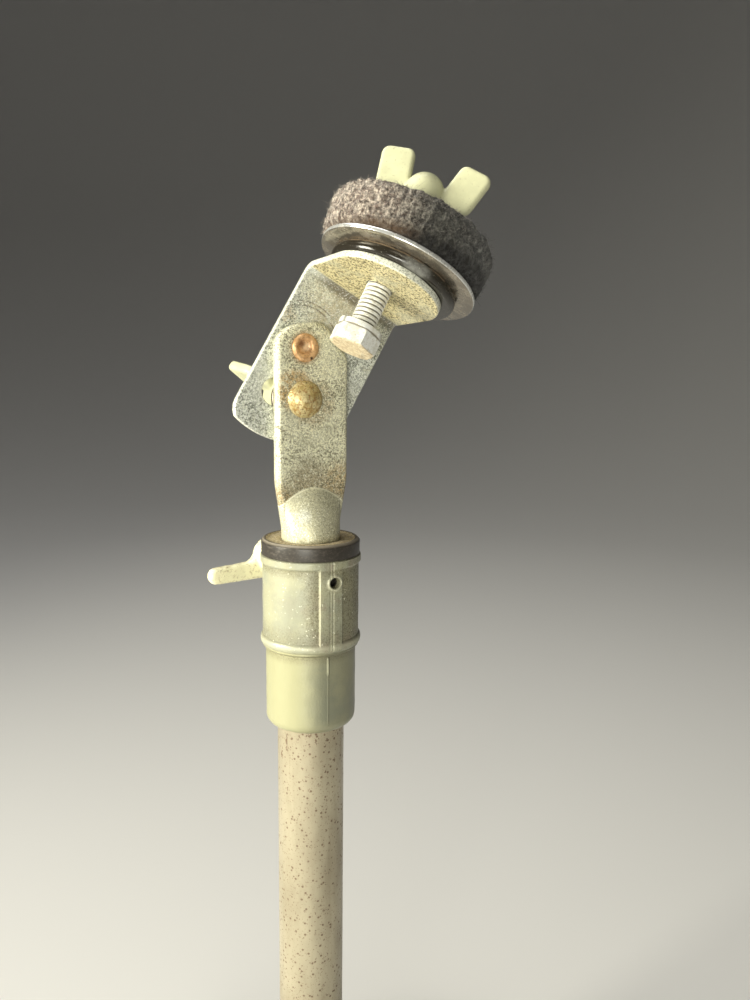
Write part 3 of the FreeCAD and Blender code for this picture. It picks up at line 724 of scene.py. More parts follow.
def make_tube_look():
    """Yellowed plating dotted with rust pinholes on the upper half, greyer and shinier lower down."""
    look = Look("worn_chrome_look", 0.35, 0.25)
    collar_foot = (0, 0, RING_TOP - COLLAR_FOOT)
    top = look.along(Z_AXIS, collar_foot, -30.0, 2.0)
    worn = look.along(Z_AXIS, collar_foot, -200.0, -120.0)
    haze = look.cloud(0.36, 0.66, 14.0, 4.0, 0.6, stretch=(1, 1, 0.35))
    pinholes = look.ramp(look.cells(1.9), 0.27, 0.15)
    pinholes = look.product(pinholes, look.cloud(0.39, 0.46, 1.8, 2.0, 0.5))
    specks = look.cloud(0.61, 0.65, 0.7, 3.0, 0.8)
    spread = look.noise(2.4, 4.0, 0.75, stretch=(1, 1, 0.6))
    blots = look.ramp(look.calc("ADD", spread, look.product(top, 0.05)), 0.63, 0.68)
    streaks = look.cloud(0.50, 0.70, 3.5, 3.0, 0.6, stretch=(1, 1, 0.08))
    yellowed = look.mix((0.45, 0.40, 0.285), (0.34, 0.295, 0.205), haze)
    grey = look.mix((0.46, 0.45, 0.41), (0.36, 0.345, 0.30), haze)
    look.base = look.mix(grey, yellowed, worn)
    look.paint((0.27, 0.225, 0.15), streaks, worn, 0.3)
    rust = look.larger(pinholes, look.larger(specks, blots))
    rust = look.product(rust, look.scaled(worn, 0.7, 0.3))
    look.paint((0.11, 0.06, 0.03), rust, 0.85)
    look.paint_done()
    shine = look.product(look.inverse(rust), look.scaled(worn, -0.45, 0.75))
    look.vary("Metallic", 0.0, 1.0, shine)
    look.rough(0.28, 0.75, look.larger(rust, look.product(haze, 0.35)))
    look.bump(look.noise(0.9, 3.0, 0.6), 0.04, 0.5)
    return look.material


def make_bush_look():
    """Dull black plastic, browned with age, its dished top full of dust."""
    look = Look("black_plastic_look", 0.42)
    up = look.along(Z_AXIS, (0, 0, RING_TOP - 0.95), 0.0, 0.3)
    dish = look.product(up, look.radial(14.9, 14.2))
    rim = look.product(look.along(Z_AXIS, (0, 0, RING_TOP), -0.9, -0.1), look.radial(14.7, 15.2))
    grains = look.cloud(0.36, 0.60, 0.8, 4.0, 0.75)
    clumps = look.cloud(0.35, 0.62, 4.0, 3.0, 0.6)
    side_dust = look.cloud(0.46, 0.72, 1.6, 4.0, 0.75, stretch=(1, 1, 2.0))
    look.base = look.mix((0.034, 0.029, 0.023), (0.15, 0.125, 0.1), side_dust, 0.5)
    look.paint((0.4, 0.35, 0.27), rim, 0.6)
    dust = look.mix((0.70, 0.61, 0.41), (0.30, 0.22, 0.12), grains)
    dust = look.mix(dust, (0.56, 0.46, 0.28), clumps, 0.5)
    look.paint(dust, dish)
    look.paint_done()
    look.rough(0.36, 0.9, look.larger(dish, look.product(side_dust, 0.3)))
    look.bump(look.product(grains, dish), 0.12, 0.6)
    look.bump(look.noise(0.8, 3.0), 0.04, 0.4)
    return look.material


def make_cream_look(name, colour, dirt_amount, shade=(0.25, 0.19, 0.08)):
    """Cream coating with small chips and grubby patches."""
    look = Look(name, 0.40)
    broad = look.cloud(0.35, 0.65, 5.0, 2.0)
    chips = look.cloud(0.655, 0.68, 0.8, 3.0, 0.7)
    grub = look.cloud(0.50, 0.68, 1.6, 5.0, 0.75, warp=0.4)
    look.base = look.mix(colour, [c * 0.9 for c in colour], broad)
    look.paint(shade, grub, dirt_amount)
    look.paint((0.16, 0.12, 0.06), chips, 0.7)
    look.paint_done()
    look.rough(0.34, 0.55, grub)
    look.bump(look.inverse(chips), 0.06, 0.6)
    look.bump(look.noise(1.4, 2.0), 0.06, 0.4)
    return look.material


def make_rivet_look():
    """Dark copper with a painted highlight in the crater, painted shadow on its upper left edge and one
    notch.
    """
    look = Look("rivet_copper_look", 0.42, 0.5)
    patches = look.cloud(0.38, 0.62, 1.4, 4.0, 0.6)
    dark = look.cloud(0.50, 0.66, 0.5, 3.0, 0.7)
    look.base = look.mix((0.74, 0.47, 0.24), (0.56, 0.32, 0.14), patches)
    look.paint((0.18, 0.08, 0.035), dark, 0.6)
    # Painted highlight in the crater.
    centre = PIVOT + Vector((0.3, -NECK_THICKNESS / 2 - 0.5, 0.2))
    look.paint((0.95, 0.7, 0.46), look.near(centre, 0.6, 1.7), 0.75)
    # Painted shadow on the crater's upper left edge.
    shadow = centre + Vector((-1.5, 0, 1.0))
    look.paint((0.16, 0.055, 0.02), look.near(shadow, 0.4, 1.6), 0.8)
    notch = PIVOT + Vector((1.7, -NECK_THICKNESS / 2 - 0.8, -3.2))
    look.paint((0.03, 0.015, 0.01), look.near(notch, 0.25, 0.75))
    look.paint_done()
    look.bump(look.noise(0.6, 3.0), 0.06, 0.7)
    return look.material


def make_bolt_brass_look():
    """Yellow zinc on the bolt, pitted and scratched down to brown."""
    look = Look("bolt_brass_look", 0.42, 0.35)
    patches = look.cloud(0.40, 0.62, 2.4, 4.0, 0.7)
    pits = look.cloud(0.52, 0.60, 0.75, 4.0, 0.75)
    veins = look.cells(2.2, "DISTANCE_TO_EDGE")
    lines = look.product(look.ramp(veins, 0.1, 0.02), look.cloud(0.42, 0.54, 2.0, 2.0))
    look.base = look.mix((0.66, 0.56, 0.30), (0.48, 0.36, 0.14), patches)
    look.paint((0.17, 0.1, 0.03), pits, 0.8)
    look.paint((0.34, 0.17, 0.04), lines, 0.7)
    look.paint_done()
    look.rough(0.36, 0.70, pits)
    look.bump(look.noise(0.6, 3.0, 0.7), 0.10, 0.9)
    return look.material


def make_bright_look():
    """Whitened zinc on the hex bolt and spring washer, tan on the bolt's end face."""
    look = Look("bright_zinc_look", 0.36, 0.2)
    patches = look.cloud(0.40, 0.62, 2.5, 3.0, 0.6)
    specks = look.cloud(0.54, 0.66, 0.55, 3.0, 0.7)
    scratch = look.cloud(0.60, 0.68, 0.5, 2.0, 0.5, stretch=(0.3, 1, 1))
    end_face = look.along(TAB_AXIS * -1, TAB_BOLT, 20.1, 20.45)
    look.base = look.mix((0.86, 0.87, 0.83), (0.68, 0.67, 0.59), patches)
    tan = look.mix((0.76, 0.66, 0.47), (0.55, 0.43, 0.26), look.cloud(0.40, 0.62, 1.1, 4.0, 0.7))
    look.paint(tan, end_face)
    look.paint((0.3, 0.22, 0.11), specks, 0.45)
    look.paint((0.86, 0.85, 0.74), scratch, 0.4)
    joint = look.product(look.along(TAB_AXIS, TAB_BOLT, -15.75, -15.35),
                         look.along(TAB_AXIS * -1, TAB_BOLT, 14.9, 15.2))
    look.paint((0.14, 0.11, 0.06), joint, 0.8)
    # Thread grooves painted dark, as painted shade.
    groove = look.ramp(look.attribute("groove"), 0.12, 0.65)
    look.paint((0.1, 0.08, 0.045), groove, 0.85)
    look.paint_done()
    look.rough(0.28, 0.55, look.larger(specks, end_face))
    look.bump(look.noise(0.7, 3.0), 0.05, 0.6)
    return look.material


def make_washer_look():
    """Bright steel washer, tarnished brown on the face that looks down at the tab."""
    look = Look("washer_steel_look", 0.20, 0.7)
    patches = look.cloud(0.42, 0.66, 4.0, 4.0, 0.6)
    specks = look.cloud(0.58, 0.68, 0.7, 3.0, 0.6)
    under = look.along(TAB_AXIS * -1, TAB_BOLT + TAB_AXIS * RUBBER_TOP, -0.3, -0.05)
    look.base = look.mix((0.92, 0.93, 0.90), (0.80, 0.79, 0.74), patches)
    tarnish = look.mix((0.13, 0.105, 0.07), (0.30, 0.26, 0.20), patches)
    look.paint(tarnish, under, 0.92)
    look.paint((0.3, 0.21, 0.12), specks, 0.5)
    look.paint_done()
    look.rough(0.16, 0.36, patches)
    look.bump(look.noise(1.2, 2.0), 0.02, 0.5)
    return look.material


def make_rubber_look():
    """Perished black rubber with a glossy skin, one scuffed grey stretch and a brown top edge that is
    dust and a painted highlight.
    """
    look = Look("washer_rubber_look", 0.24)
    front = TAB @ Vector((-1.0, -20.5, 4.2))
    broken = look.scaled(look.cloud(0.4, 0.6, 0.9, 4.0, 0.75), 0.45, 0.55)
    scuffed = look.product(look.near(front, 2.0, 6.0), broken)
    # Brown top edge: dust, and a painted highlight along the rim.
    dust_and_highlight_rim = look.along(TAB_AXIS, TAB_BOLT, 4.9, 5.7)
    specks = look.cloud(0.70, 0.76, 0.4, 1.0)
    look.base = look.mix((0.02, 0.017, 0.012), (0.22, 0.22, 0.2), scuffed, 0.75)
    look.paint((0.3, 0.22, 0.14), dust_and_highlight_rim, look.cloud(0.4, 0.6, 3.0, 3.0))
    look.paint((0.6, 0.6, 0.5), specks, 0.6)
    look.paint_done()
    look.rough(0.16, 0.6, look.larger(scuffed, dust_and_highlight_rim))
    look.bump(look.noise(3.0, 2.0), 0.08, 0.5)
    return look.material


def make_foot_look():
    look = Look("foot_rubber_look", 0.7)
    scuff = look.cloud(0.5, 0.7, 2.0, 4.0, 0.6)
    look.colour(look.mix((0.035, 0.035, 0.034), (0.12, 0.11, 0.10), scuff))
    look.bump(look.noise(0.8, 2.0), 0.05, 0.5)
    return look.material


def make_felt_look():
    """Matted wool: pink-brown on the left end as painted light, charcoal elsewhere with its fibres
    painted darker on the right as painted shade; rusty where it meets the washer, that band turning
    black to the right as painted shadow.
    """
    look = Look("felt_wool_look", 0.95)
    look.shader.inputs["Sheen Weight"].default_value = 0.25
    look.shader.inputs["Sheen Roughness"].default_value = 0.5
    look.shader.inputs["Specular IOR Level"].default_value = 0.12
    clumps = look.cloud(0.41, 0.60, 1.9, 4.0, 0.8, warp=0.6)
    mottle = look.cloud(0.40, 0.60, 0.8, 3.0, 0.8)
    threads = look.noise(0.35, 3.0, 0.7, warp=0.8)
    left = look.along(SIDE * -1, TAB_BOLT, 4.0, 23.0)
    right = look.along(SIDE, TAB_BOLT, 0.0, 17.0)
    grey = look.mix((0.022, 0.020, 0.017), (0.155, 0.15, 0.13), clumps)
    # The left end painted lighter and pink-brown, as painted light.
    look.base = look.mix(grey, look.mix((0.15, 0.105, 0.085), (0.64, 0.55, 0.46), clumps), left)
    look.paint(look.mix((0.024, 0.024, 0.023), (0.20, 0.198, 0.185), clumps), right)
    look.paint((0.015, 0.014, 0.012), mottle, 0.7)
    low = look.along(TAB_AXIS * -1 + SIDE * 0.15, TAB_BOLT, -14.0, -10.5)
    patchy = look.cloud(0.34, 0.56, 3.0, 4.0, 0.7)
    across = look.along(SIDE, TAB_BOLT, -16.0, -4.0)
    # Rust at the left of the bottom band, turning to black painted shadow on the right where the felt
    # lifts off the washer.
    rust_and_shadow_low = look.mix((0.075, 0.042, 0.020), (0.008, 0.007, 0.006), across)
    look.paint(rust_and_shadow_low, low, look.scaled(patchy, 0.35, 0.6))
    fibre = look.attribute("fibre")
    strand = look.mix((0.045, 0.04, 0.036), (0.50, 0.45, 0.39), fibre)
    # Fibres painted darker on the right, as painted shade.
    strand = look.mix(strand, (0.14, 0.135, 0.125), right, 0.8)
    look.paint(strand, look.ramp(fibre, 0.01, 0.05), look.scaled(low, -0.78, 0.8))
    look.paint_done()
    look.bump(threads, 0.35, 1.0)
    return look.material


def make_plain_look(name, colour, roughness, metallic):
    look = Look(name, roughness, metallic)
    patches = look.cloud(0.40, 0.66, 4.0, 4.0, 0.6)
    look.colour(look.mix(colour, [c * 0.72 for c in colour], patches))
    look.rough(roughness * 0.85, min(1.0, roughness * 1.25), patches)
    look.bump(look.noise(0.8, 3.0), 0.03, 0.5)
    return look.material


def make_base_look():
    """Black enamel on cast iron, with chips at the rim and a little dust."""
    look = Look("base_enamel_look", 0.38)
    orange_peel = look.noise(1.6, 2.0, 0.5)
    dust = look.cloud(0.40, 0.80, 22.0, 5.0, 0.7)
    look.base = look.mix((0.03, 0.03, 0.032), (0.12, 0.115, 0.1), dust, 0.35)
    chips = look.cloud(0.62, 0.66, 2.2, 4.0, 0.7)
    look.paint((0.24, 0.16, 0.1), chips, look.attribute("rim"))
    look.paint_done()
    look.rough(0.32, 0.7, dust)
    look.bump(orange_peel, 0.12, 0.5)
    return look.material


# ---------------------------------------------------------------- pieces
def mark(piece, name, value):
    """Stores a 0 to 1 number per vertex for a material to read."""
    layer = piece.data.attributes.new(name, "FLOAT", "POINT")
    for vertex, item in zip(piece.data.vertices, layer.data):
        item.value = value(vertex.co)


def threaded_rod(name, radius, low, high, pitch=1.4, segments=48, steps=12):
    """Rod along Z with a real helical thread that runs out at both ends."""
    depth = 0.42 * pitch
    count = int((high - low) / pitch * steps)
    rings = []
    for i in range(count + 1):
        z = low + (high - low) * i / count
        ease = min(1.0, (z - low) / pitch, (high - z) / pitch)
        one = []
        for k, angle in enumerate(around(segments)):
            phase = (z / pitch - k / segments) % 1.0
            crest = smooth_between(0.02, 0.26, abs(phase - 0.5))
            one.append(polar(radius - depth * (1 - crest) * max(0.0, ease), angle, z))
        rings.append(one)
    return solid(name, *skin(rings))


def groove_of(radius, depth):
    """Groove amount from how far a vertex sits inside the major radius about local Z."""
    def value(co):
        inside = radius - math.hypot(co.x, co.y)
        return min(1.0, max(0.0, inside / depth))
    return value


def hexagon_head(name, across_flats, low, high):
    """Hexagon prism whose lower corners are cut by a cone, as a stack of rings."""
    inner = across_flats / 2
    levels = 14
    rings = []
    for i in range(levels + 1):
        z = low + (high - low) * i / levels
        cone = inner * 1.045 + (z - low) / math.tan(math.radians(32))
        soft = inner * 1.15 - max(0.0, 0.25 - (high - z)) * 0.8
        one = []
        for angle in around(96):
            to_flat = (angle + math.pi / 6) % (math.pi / 3) - math.pi / 6
            one.append(polar(min(inner / math.cos(to_flat), cone, soft), angle, z))
        rings.append(one)
    return solid(name, *skin(rings))


def make_hex_bolt(material):
    head = place(hexagon_head("hex_bolt_head", 13.0, HEX_LOW, HEX_TOP), about_z(HEX_TURN))
    rod = threaded_rod("hex_bolt_rod", BOLT_RADIUS, HEX_TOP - 0.6, FELT_TOP + 13.5)
    mark(rod, "groove", groove_of(BOLT_RADIUS, 0.6))
    mark(head, "groove", lambda co: 0.0)
    bolt = place(merge("machine_bolt", head, rod), TAB)
    return finish_piece(bolt, "head", ["hex_bolt"], material, 38)


def merge(name, first, *others):
    """One object from several closed shells that touch inside each other."""
    bm = bmesh.new()
    for piece in (first, *others):
        bm.from_mesh(piece.data)
    mesh_data = bpy.data.meshes.new(name)
    bm.to_mesh(mesh_data)
    bm.free()
    for other in others:
        bpy.data.objects.remove(other)
    first.data = mesh_data
    first.name = name
    return first


def make_lock_washer(material):
    """Split spring washer, its two ends slightly sprung apart."""
    inner, outer, thickness, spring = 4.15, 6.9, 1.9, 0.25
    gap, steps = 5.0, 90
    section = rounded([(inner, 0), (outer, 0), (outer, thickness), (inner, thickness)], 0.35, 3)
    rings = []
    for i in range(steps + 1):
        t = i / steps
        angle = math.radians(gap + (360 - 2 * gap) * t)
        rings.append([polar(r, angle, z + spring * (t - 0.5)) for r, z in section])
    washer = place(solid("spring_washer", *skin(rings)), about_z(SPLIT_TURN, (0, 0, HEX_TOP + 0.1)))
    return finish_piece(place(washer, TAB), "head", ["lock_washer"], material, 40)


def make_rubber_washer(material):
    """Bulging rubber washer, squeezed off centre and slightly out of round."""
    hole, edge = 7.1, 1.4
    middle, half = (PLATE + RUBBER_TOP) / 2, (RUBBER_TOP - PLATE) / 2
    reach = RUBBER_RADIUS - edge
    profile = [(hole, PLATE), (reach, PLATE), *arc(reach, middle, edge, half, -90, 90, 12)]
    profile += [(reach, RUBBER_TOP), (hole, RUBBER_TOP)]

    def wobble(angle, r, z):
        if r <= 10:
            return 0
        return 0.22 * noise.noise(Vector((math.cos(angle) * 2, math.sin(angle) * 2, z * 0.3)))

    washer = place(lathe("rubber_seat", profile, 128, wobble), Matrix.Translation(RUBBER_SHIFT))
    return finish_piece(place(washer, TAB), "head", ["rubber_washer"], material, 40)


def flat_ring(name, outer, inner, low, high, rim, segments=128):
    profile = rounded([(inner, low), (outer, low), (outer, high), (inner, high)], rim, 3)
    return lathe(name, profile, segments)


def make_washers(material):
    backing = flat_ring("large_washer", BACKING_RADIUS, 7.6, RUBBER_TOP, BACKING_TOP, 0.45)
    place(backing, Matrix.Translation(BACKING_SHIFT))
    finish_piece(place(backing, TAB), "head", ["backing_washer"], material, 50)
    low = FELT_TOP + SEAT_GAP
    top = flat_ring("nut_washer", 10.0, 4.2, low, low + SMALL_WASHER, 0.35, 64)
    finish_piece(place(top, TAB), "top_spacer", ["top_washer"], material, 50)
    low = LEG_FRONT + PLATE + SEAT_GAP
    tilt = flat_ring("leg_washer", 8.5, 4.2, low, low + SMALL_WASHER, 0.35, 64)
    finish_piece(place(tilt, TILT), "tilt_spacer", ["tilt_washer"], material, 50)


def make_felt(material):
    """Matted felt disc, pressed down under the nut, sprung off the washer on its far side."""
    low, high, outer, bore, dish = BACKING_TOP, FELT_RIM_TOP, FELT_RADIUS, 6.2, 12.5
    corner = outer - 4.0
    side = []
    for k in range(44):
        angle = math.radians(-90 + 180 * k / 43)
        rise = math.copysign(abs(math.sin(angle)) ** 0.7, math.sin(angle))
        side.append((corner + 4.0 * math.cos(angle) ** 0.7, (low + high) / 2 + (high - low) / 2 * rise))
    inner_low = [(bore + (corner - bore) * k / 14, low) for k in range(14)]
    inner_high = []
    for k in range(1, 19):
        r = corner - (corner - bore) * k / 18
        inner_high.append((r, FELT_TOP + (high - FELT_TOP) * smooth_between(dish, dish + 4, r)))
    rings = []
    for r, z in inner_low + side + inner_high:
        above = (z - low) / (high - low)
        outward = smooth_between(outer - 8, outer - 2.0, r)
        free = smooth_between(dish, outer, r)
        one = []
        for angle in around(480):
            x, y = math.cos(angle), math.sin(angle)
            rib = noise.fractal(Vector((x * 8.5, y * 8.5, z * 0.07)), 1.0, 2.0, 3)
            fine = noise.fractal(Vector((x * r, y * r, z)) * 0.9, 0.7, 2.0, 4)
            flare = noise.noise(Vector((x * 1.3, y * 1.3, 4.0)))
            reach = r + outward * (0.55 * rib + 0.6 * fine + 0.6 * flare)
            reach -= outward * 1.8 * (1 - above) * smooth_between(0.2, 1.0, -x)
            lift = free * x * (1.1 * above + 1.3 * (1 - above) * smooth_between(-0.3, 1.0, x))
            if r > dish and above > 0.5:
                lift += 0.45 * noise.fractal(Vector((x * r, y * r, 9.0)) * 0.5, 1.0, 2.0, 3) * free
            lift += outward * (1 - above) * 0.3 * (1 + rib)
            one.append(Vector((reach * x, reach * y, z + lift)))
        rings.append(one)
    felt = solid("felt_disc", *skin(rings, closed_loop=True))
    mark(felt, "fibre", lambda co: 0.0)
    felt = merge("felt_pad", felt, make_fibres(felt, FIBRE_COUNT))
    place(felt, Matrix.Translation((FELT_SHIFT, 0, 0)))
    finish_piece(place(felt, TAB), "head", ["felt_washer"], material, None)
    return felt


def make_fibres(felt, count):
    """Short curled wool fibres lying over the felt, each a thin three-sided tube."""
    dice = random.Random(7)
    vertices = []
    faces = []
    shades = []
    candidates = [v for v in felt.data.vertices if math.hypot(v.co.x, v.co.y) > 15 and v.co.z > 8.5]
    steps = 5
    for _ in range(count):
        root = dice.choice(candidates)
        stray = dice.random() < 0.010
        length = dice.uniform(3.0, 6.5) if stray else dice.uniform(0.7, 2.0)
        wild = Vector([dice.uniform(-1, 1) for _ in range(3)])
        direction = (root.normal * 0.25 + wild).normalized()
        curl = Vector([dice.uniform(-1, 1) for _ in range(3)]) * 1.3
        curl -= root.normal * (0.0 if stray else 0.5)
        point = root.co - root.normal * 0.1
        side = direction.orthogonal().normalized()
        other = direction.cross(side)
        base = len(vertices)
        shade = dice.uniform(0.25, 1.0)
        for i in range(steps + 1):
            thin = 0.05 * (1 - 0.7 * i / steps)
            for k in range(3):
                angle = 2 * math.pi * k / 3
                vertices.append(point + (side * math.cos(angle) + other * math.sin(angle)) * thin)
                shades.append(shade)
            direction = (direction + curl / steps).normalized()
            point = point + direction * (length / steps)
        for i in range(steps):
            for k in range(3):
                n = (k + 1) % 3
                a = base + 3 * i
                faces.append((a + k, a + n, a + 3 + n, a + 3 + k))
        faces.append((base + 2, base + 1, base))
        end = base + 3 * steps
        faces.append((end, end + 1, end + 2))
    mesh_data = bpy.data.meshes.new("fibres")
    mesh_data.from_pydata([tuple(v) for v in vertices], [], faces)
    fibres = bpy.data.objects.new("fibres", mesh_data)
    bpy.context.collection.objects.link(fibres)
    layer = mesh_data.attributes.new("fibre", "FLOAT", "POINT")
    layer.data.foreach_set("value", shades)
    return fibres


def wing_nut(name):
    """Closed-end wing nut on z = 0: turned hub and dome, two flat ears, blended like a casting."""
    apex, waist, base, dome = 18.0, 6.3, 7.8, 11.4
    profile = [(0, 0), (base, 0), (base, 1.4), (7.0, 3.2), (6.5, 5.5), (waist, 8.0), (waist, dome)]
    profile += arc(0, dome, waist, apex - dome, 0, 90, 12, skip=1) + [(0, apex)]
    hub = lathe("hub", profile, 96)
    corners = [
        (4.2, 3.5, 0), (4.9, 11.0, 2.0), (8.1, 24.5, 2.4),
        (18.7, 22.7, 2.6), (15.9, 10.2, 5.0), (9.7, 3.4, 2.0),
    ]
    for side in (1, -1):
        loop = dense(rounded([(side * x, z, r) for x, z, r in corners], 1.0), 0.8)
        ear = sheet_metal("ear", [loop], 3.4, 1.25, 2.0, lambda x, y, z: (x, z - 1.7, y))
        hub = join(hub, ear)
    hub.name = name
    return cast(hub, 0.32, 5)


def make_wing_nuts(material):
    top = place(wing_nut("top_nut_body"), about_z(TOP_NUT_TURN, (0, 0, FELT_TOP + SMALL_WASHER + 0.1)))
    finish_piece(place(top, TAB), "top_nut", ["top_wing_nut"], material, None)
    seat = LEG_FRONT + PLATE + SMALL_WASHER + 0.1
    tilt = place(wing_nut("tilt_nut_body"), about_z(TILT_NUT_TURN, (0, 0, seat)))
    finish_piece(place(tilt, TILT), "tilt_nut", ["tilt_wing_nut"], material, None)


def make_clamp_screw(material):
    """Cast thumbscrew: rounded hub with a long bar wing each side of its lower edge, threaded shank."""
    start, end, radius, edge = 24.6, 34.0, 6.3, 2.6
    profile = [(0, start), (radius - 0.6, start), (radius, start + 0.6), (radius, end - edge)]
    profile += arc(radius - edge, end - edge, edge, edge, 0, 90, 8, skip=1) + [(0, end)]
    hub = lathe("screw_hub", profile, 64)
    reach, height, depth = 24.5, 5.6, 4.4
    low = (start + end) / 2 - depth / 2
    top = radius - height
    half = [
        (6.0, radius + 1.0, 4.0), (reach, radius, 2.7), (reach, top, 2.7),
        (9.0, top, 4.0), (5.2, -3.4, 1.0),
    ]
    outline = half + [(-x, y, r) for x, y, r in reversed(half)]
    loop = dense(rounded(outline, 1.0), 1.0)
    bar = sheet_metal("bar", [loop], depth, 1.7, 2.5, lambda x, y, z: (x, y, z + low))
    screw = cast(join(hub, place(bar, about_z(LEVER_TURN))), 0.35, 5)
    roughen(screw, 0.12, 0.5, 2.0)
    shank = threaded_rod("screw_shank", 2.95, 13.5, start + 1.5, 1.0, 32, 8)
    screw = place(merge("thumb_screw", screw, shank), CLAMP)
    return finish_piece(screw, "clamp_screw", ["clamp_wing_screw"], material, 45)


def make_rivet(material):
    """Rolled-over end with an off-centre crater in front, oval head behind."""
    front = -NECK_THICKNESS / 2
    back = LEG_FRONT + PLATE + SEAT_GAP
    profile = [
        (0, front - 0.25), (0.6, front - 0.28), (1.1, front - 0.12), (1.5, front - 0.05),
        (1.9, front - 0.3),
        *arc(3.25, front - 0.1, 1.2, -1.05, 150, 0, 9),
        (4.35, front + 0.05), (2.4, front + 0.05), (2.4, back), (5.0, back),
        *arc(0, back, 5.0, 2.2, 0, 90, 8, skip=1), (0, back + 2.2),
    ]
    rivet = lathe("rivet", profile, 96)
    for vertex in rivet.data.vertices:
        co = vertex.co
        if co.z < front + 0.01:
            inner = 1 - smooth_between(2.6, 4.3, math.hypot(co.x, co.y))
            co.x -= 0.45 * inner
            co.y -= 0.25 * inner
            co.z += 0.12 * noise.noise(Vector((co.x * 0.9, co.y * 0.9, 4.0)))
    place(rivet, frame_matrix(PIVOT, X_AXIS, Y_AXIS))
    return finish_piece(rivet, "neck", ["tilt_rivet"], material, 50)


def make_carriage_bolt(material):
    face = -NECK_THICKNESS / 2
    radius, height = 5.9, 3.2
    ball = (radius ** 2 + height ** 2) / (2 * height)
    span = math.asin(radius / ball)
    profile = [(0, face - height)]
    for k in range(1, 15):
        angle = span * k / 14
        profile.append((ball * math.sin(angle), face - height + ball * (1 - math.cos(angle))))
    profile += [(radius - 0.15, face + 0.15), (0, face + 0.15)]
    dome = lathe("dome", profile, 96)
    roughen(dome, 0.10, 0.9, 3.0)
    seat = LEG_FRONT + PLATE + SMALL_WASHER + 0.1
    rod = threaded_rod("bolt_rod", BOLT_RADIUS, face + 0.1, seat + NUT_DEPTH)
    square = Matrix.Diagonal((8, 8, NECK_THICKNESS - 0.2, 1))
    neck = bpy.data.meshes.new("square_neck")
    bm = bmesh.new()
    bmesh.ops.create_cube(bm, size=1.0, matrix=square)
    bmesh.ops.bevel(bm, geom=bm.edges[:], offset=0.4, segments=3, affect="EDGES")
    bm.to_mesh(neck)
    bm.free()
    collar = bpy.data.objects.new("square_neck", neck)
    bpy.context.collection.objects.link(collar)
    bolt = merge("domed_bolt", dome, rod, collar)
    return finish_piece(place(bolt, TILT), "neck", ["carriage_bolt"], material, 40)


def neck_outline():
    left, right, top, waist = NECK_LEFT, NECK_RIGHT, NECK_TOP, NECK_WAIST
    shoulder = FLAT_START + 3
    corners = [
        (-waist, 0.6, 0), (waist, 0.6, 0), (waist + 0.3, 3.5, 20), (right, shoulder, 25),
        (right, 58.2, 7), (right - 2.95, 61.2, 4), (right - 7.55, top - 0.4, 5.5),
        (right - 11.55, top + 0.25, 8), (left + 5.95, top - 0.6, 12), (left, 64.3, 9),
        (left, shoulder, 25), (-waist - 0.3, 3.5, 20),
    ]
    return dense(rounded(corners, 1.0, 8), 0.9)


def make_neck(material):
    """Round tube squeezed flat: a rimmed plate joined to a bulge that thins into it."""
    plate = sheet_metal("neck_flat", [neck_outline()], NECK_THICKNESS, 1.7, 2.0,
                        lambda x, y, z: (x, NECK_THICKNESS / 2 - z, y + RING_TOP))
    angles = around(160)
    levels = (SLIDER_BOTTOM, RING_TOP - 60, RING_TOP - 20, RING_TOP - 6)
    stack = [[polar(SLIDER_RADIUS, angle, z) for angle in angles] for z in levels]
    count = 48
    inside = NECK_THICKNESS / 2 - 0.12
    for i in range(count + 1):
        t = i / count
        one = []
        for angle in angles:
            x, y = SLIDER_RADIUS * math.cos(angle), SLIDER_RADIUS * math.sin(angle)
            arch = ARCH_TOP - ARCH_DROP * (x / 10) ** 2
            if abs(y) > inside:
                y = math.copysign(inside + (abs(y) - inside) * (1 - t ** BULGE_SHAPE), y)
            one.append(Vector((x * (1 + 0.06 * t), y, RING_TOP + t * arch)))
        stack.append(one)
    neck = join(solid("flattened_tube", *skin(stack)), plate)
    bore_radius, low, high = 8.2, SLIDER_BOTTOM - 1, RING_TOP - 4
    bore = lathe("bore", [(0, low), (bore_radius, low), (bore_radius, high), (0, high)], 96)
    neck = join(neck, bore, operation="DIFFERENCE")
    return finish_piece(neck, "neck", ["neck_tube"], material, 30)


def below(reach, degrees):
    """Point that far from the pivot, by its angle from straight down the leg."""
    angle = math.radians(degrees)
    return (reach * math.sin(angle), -reach * math.cos(angle))


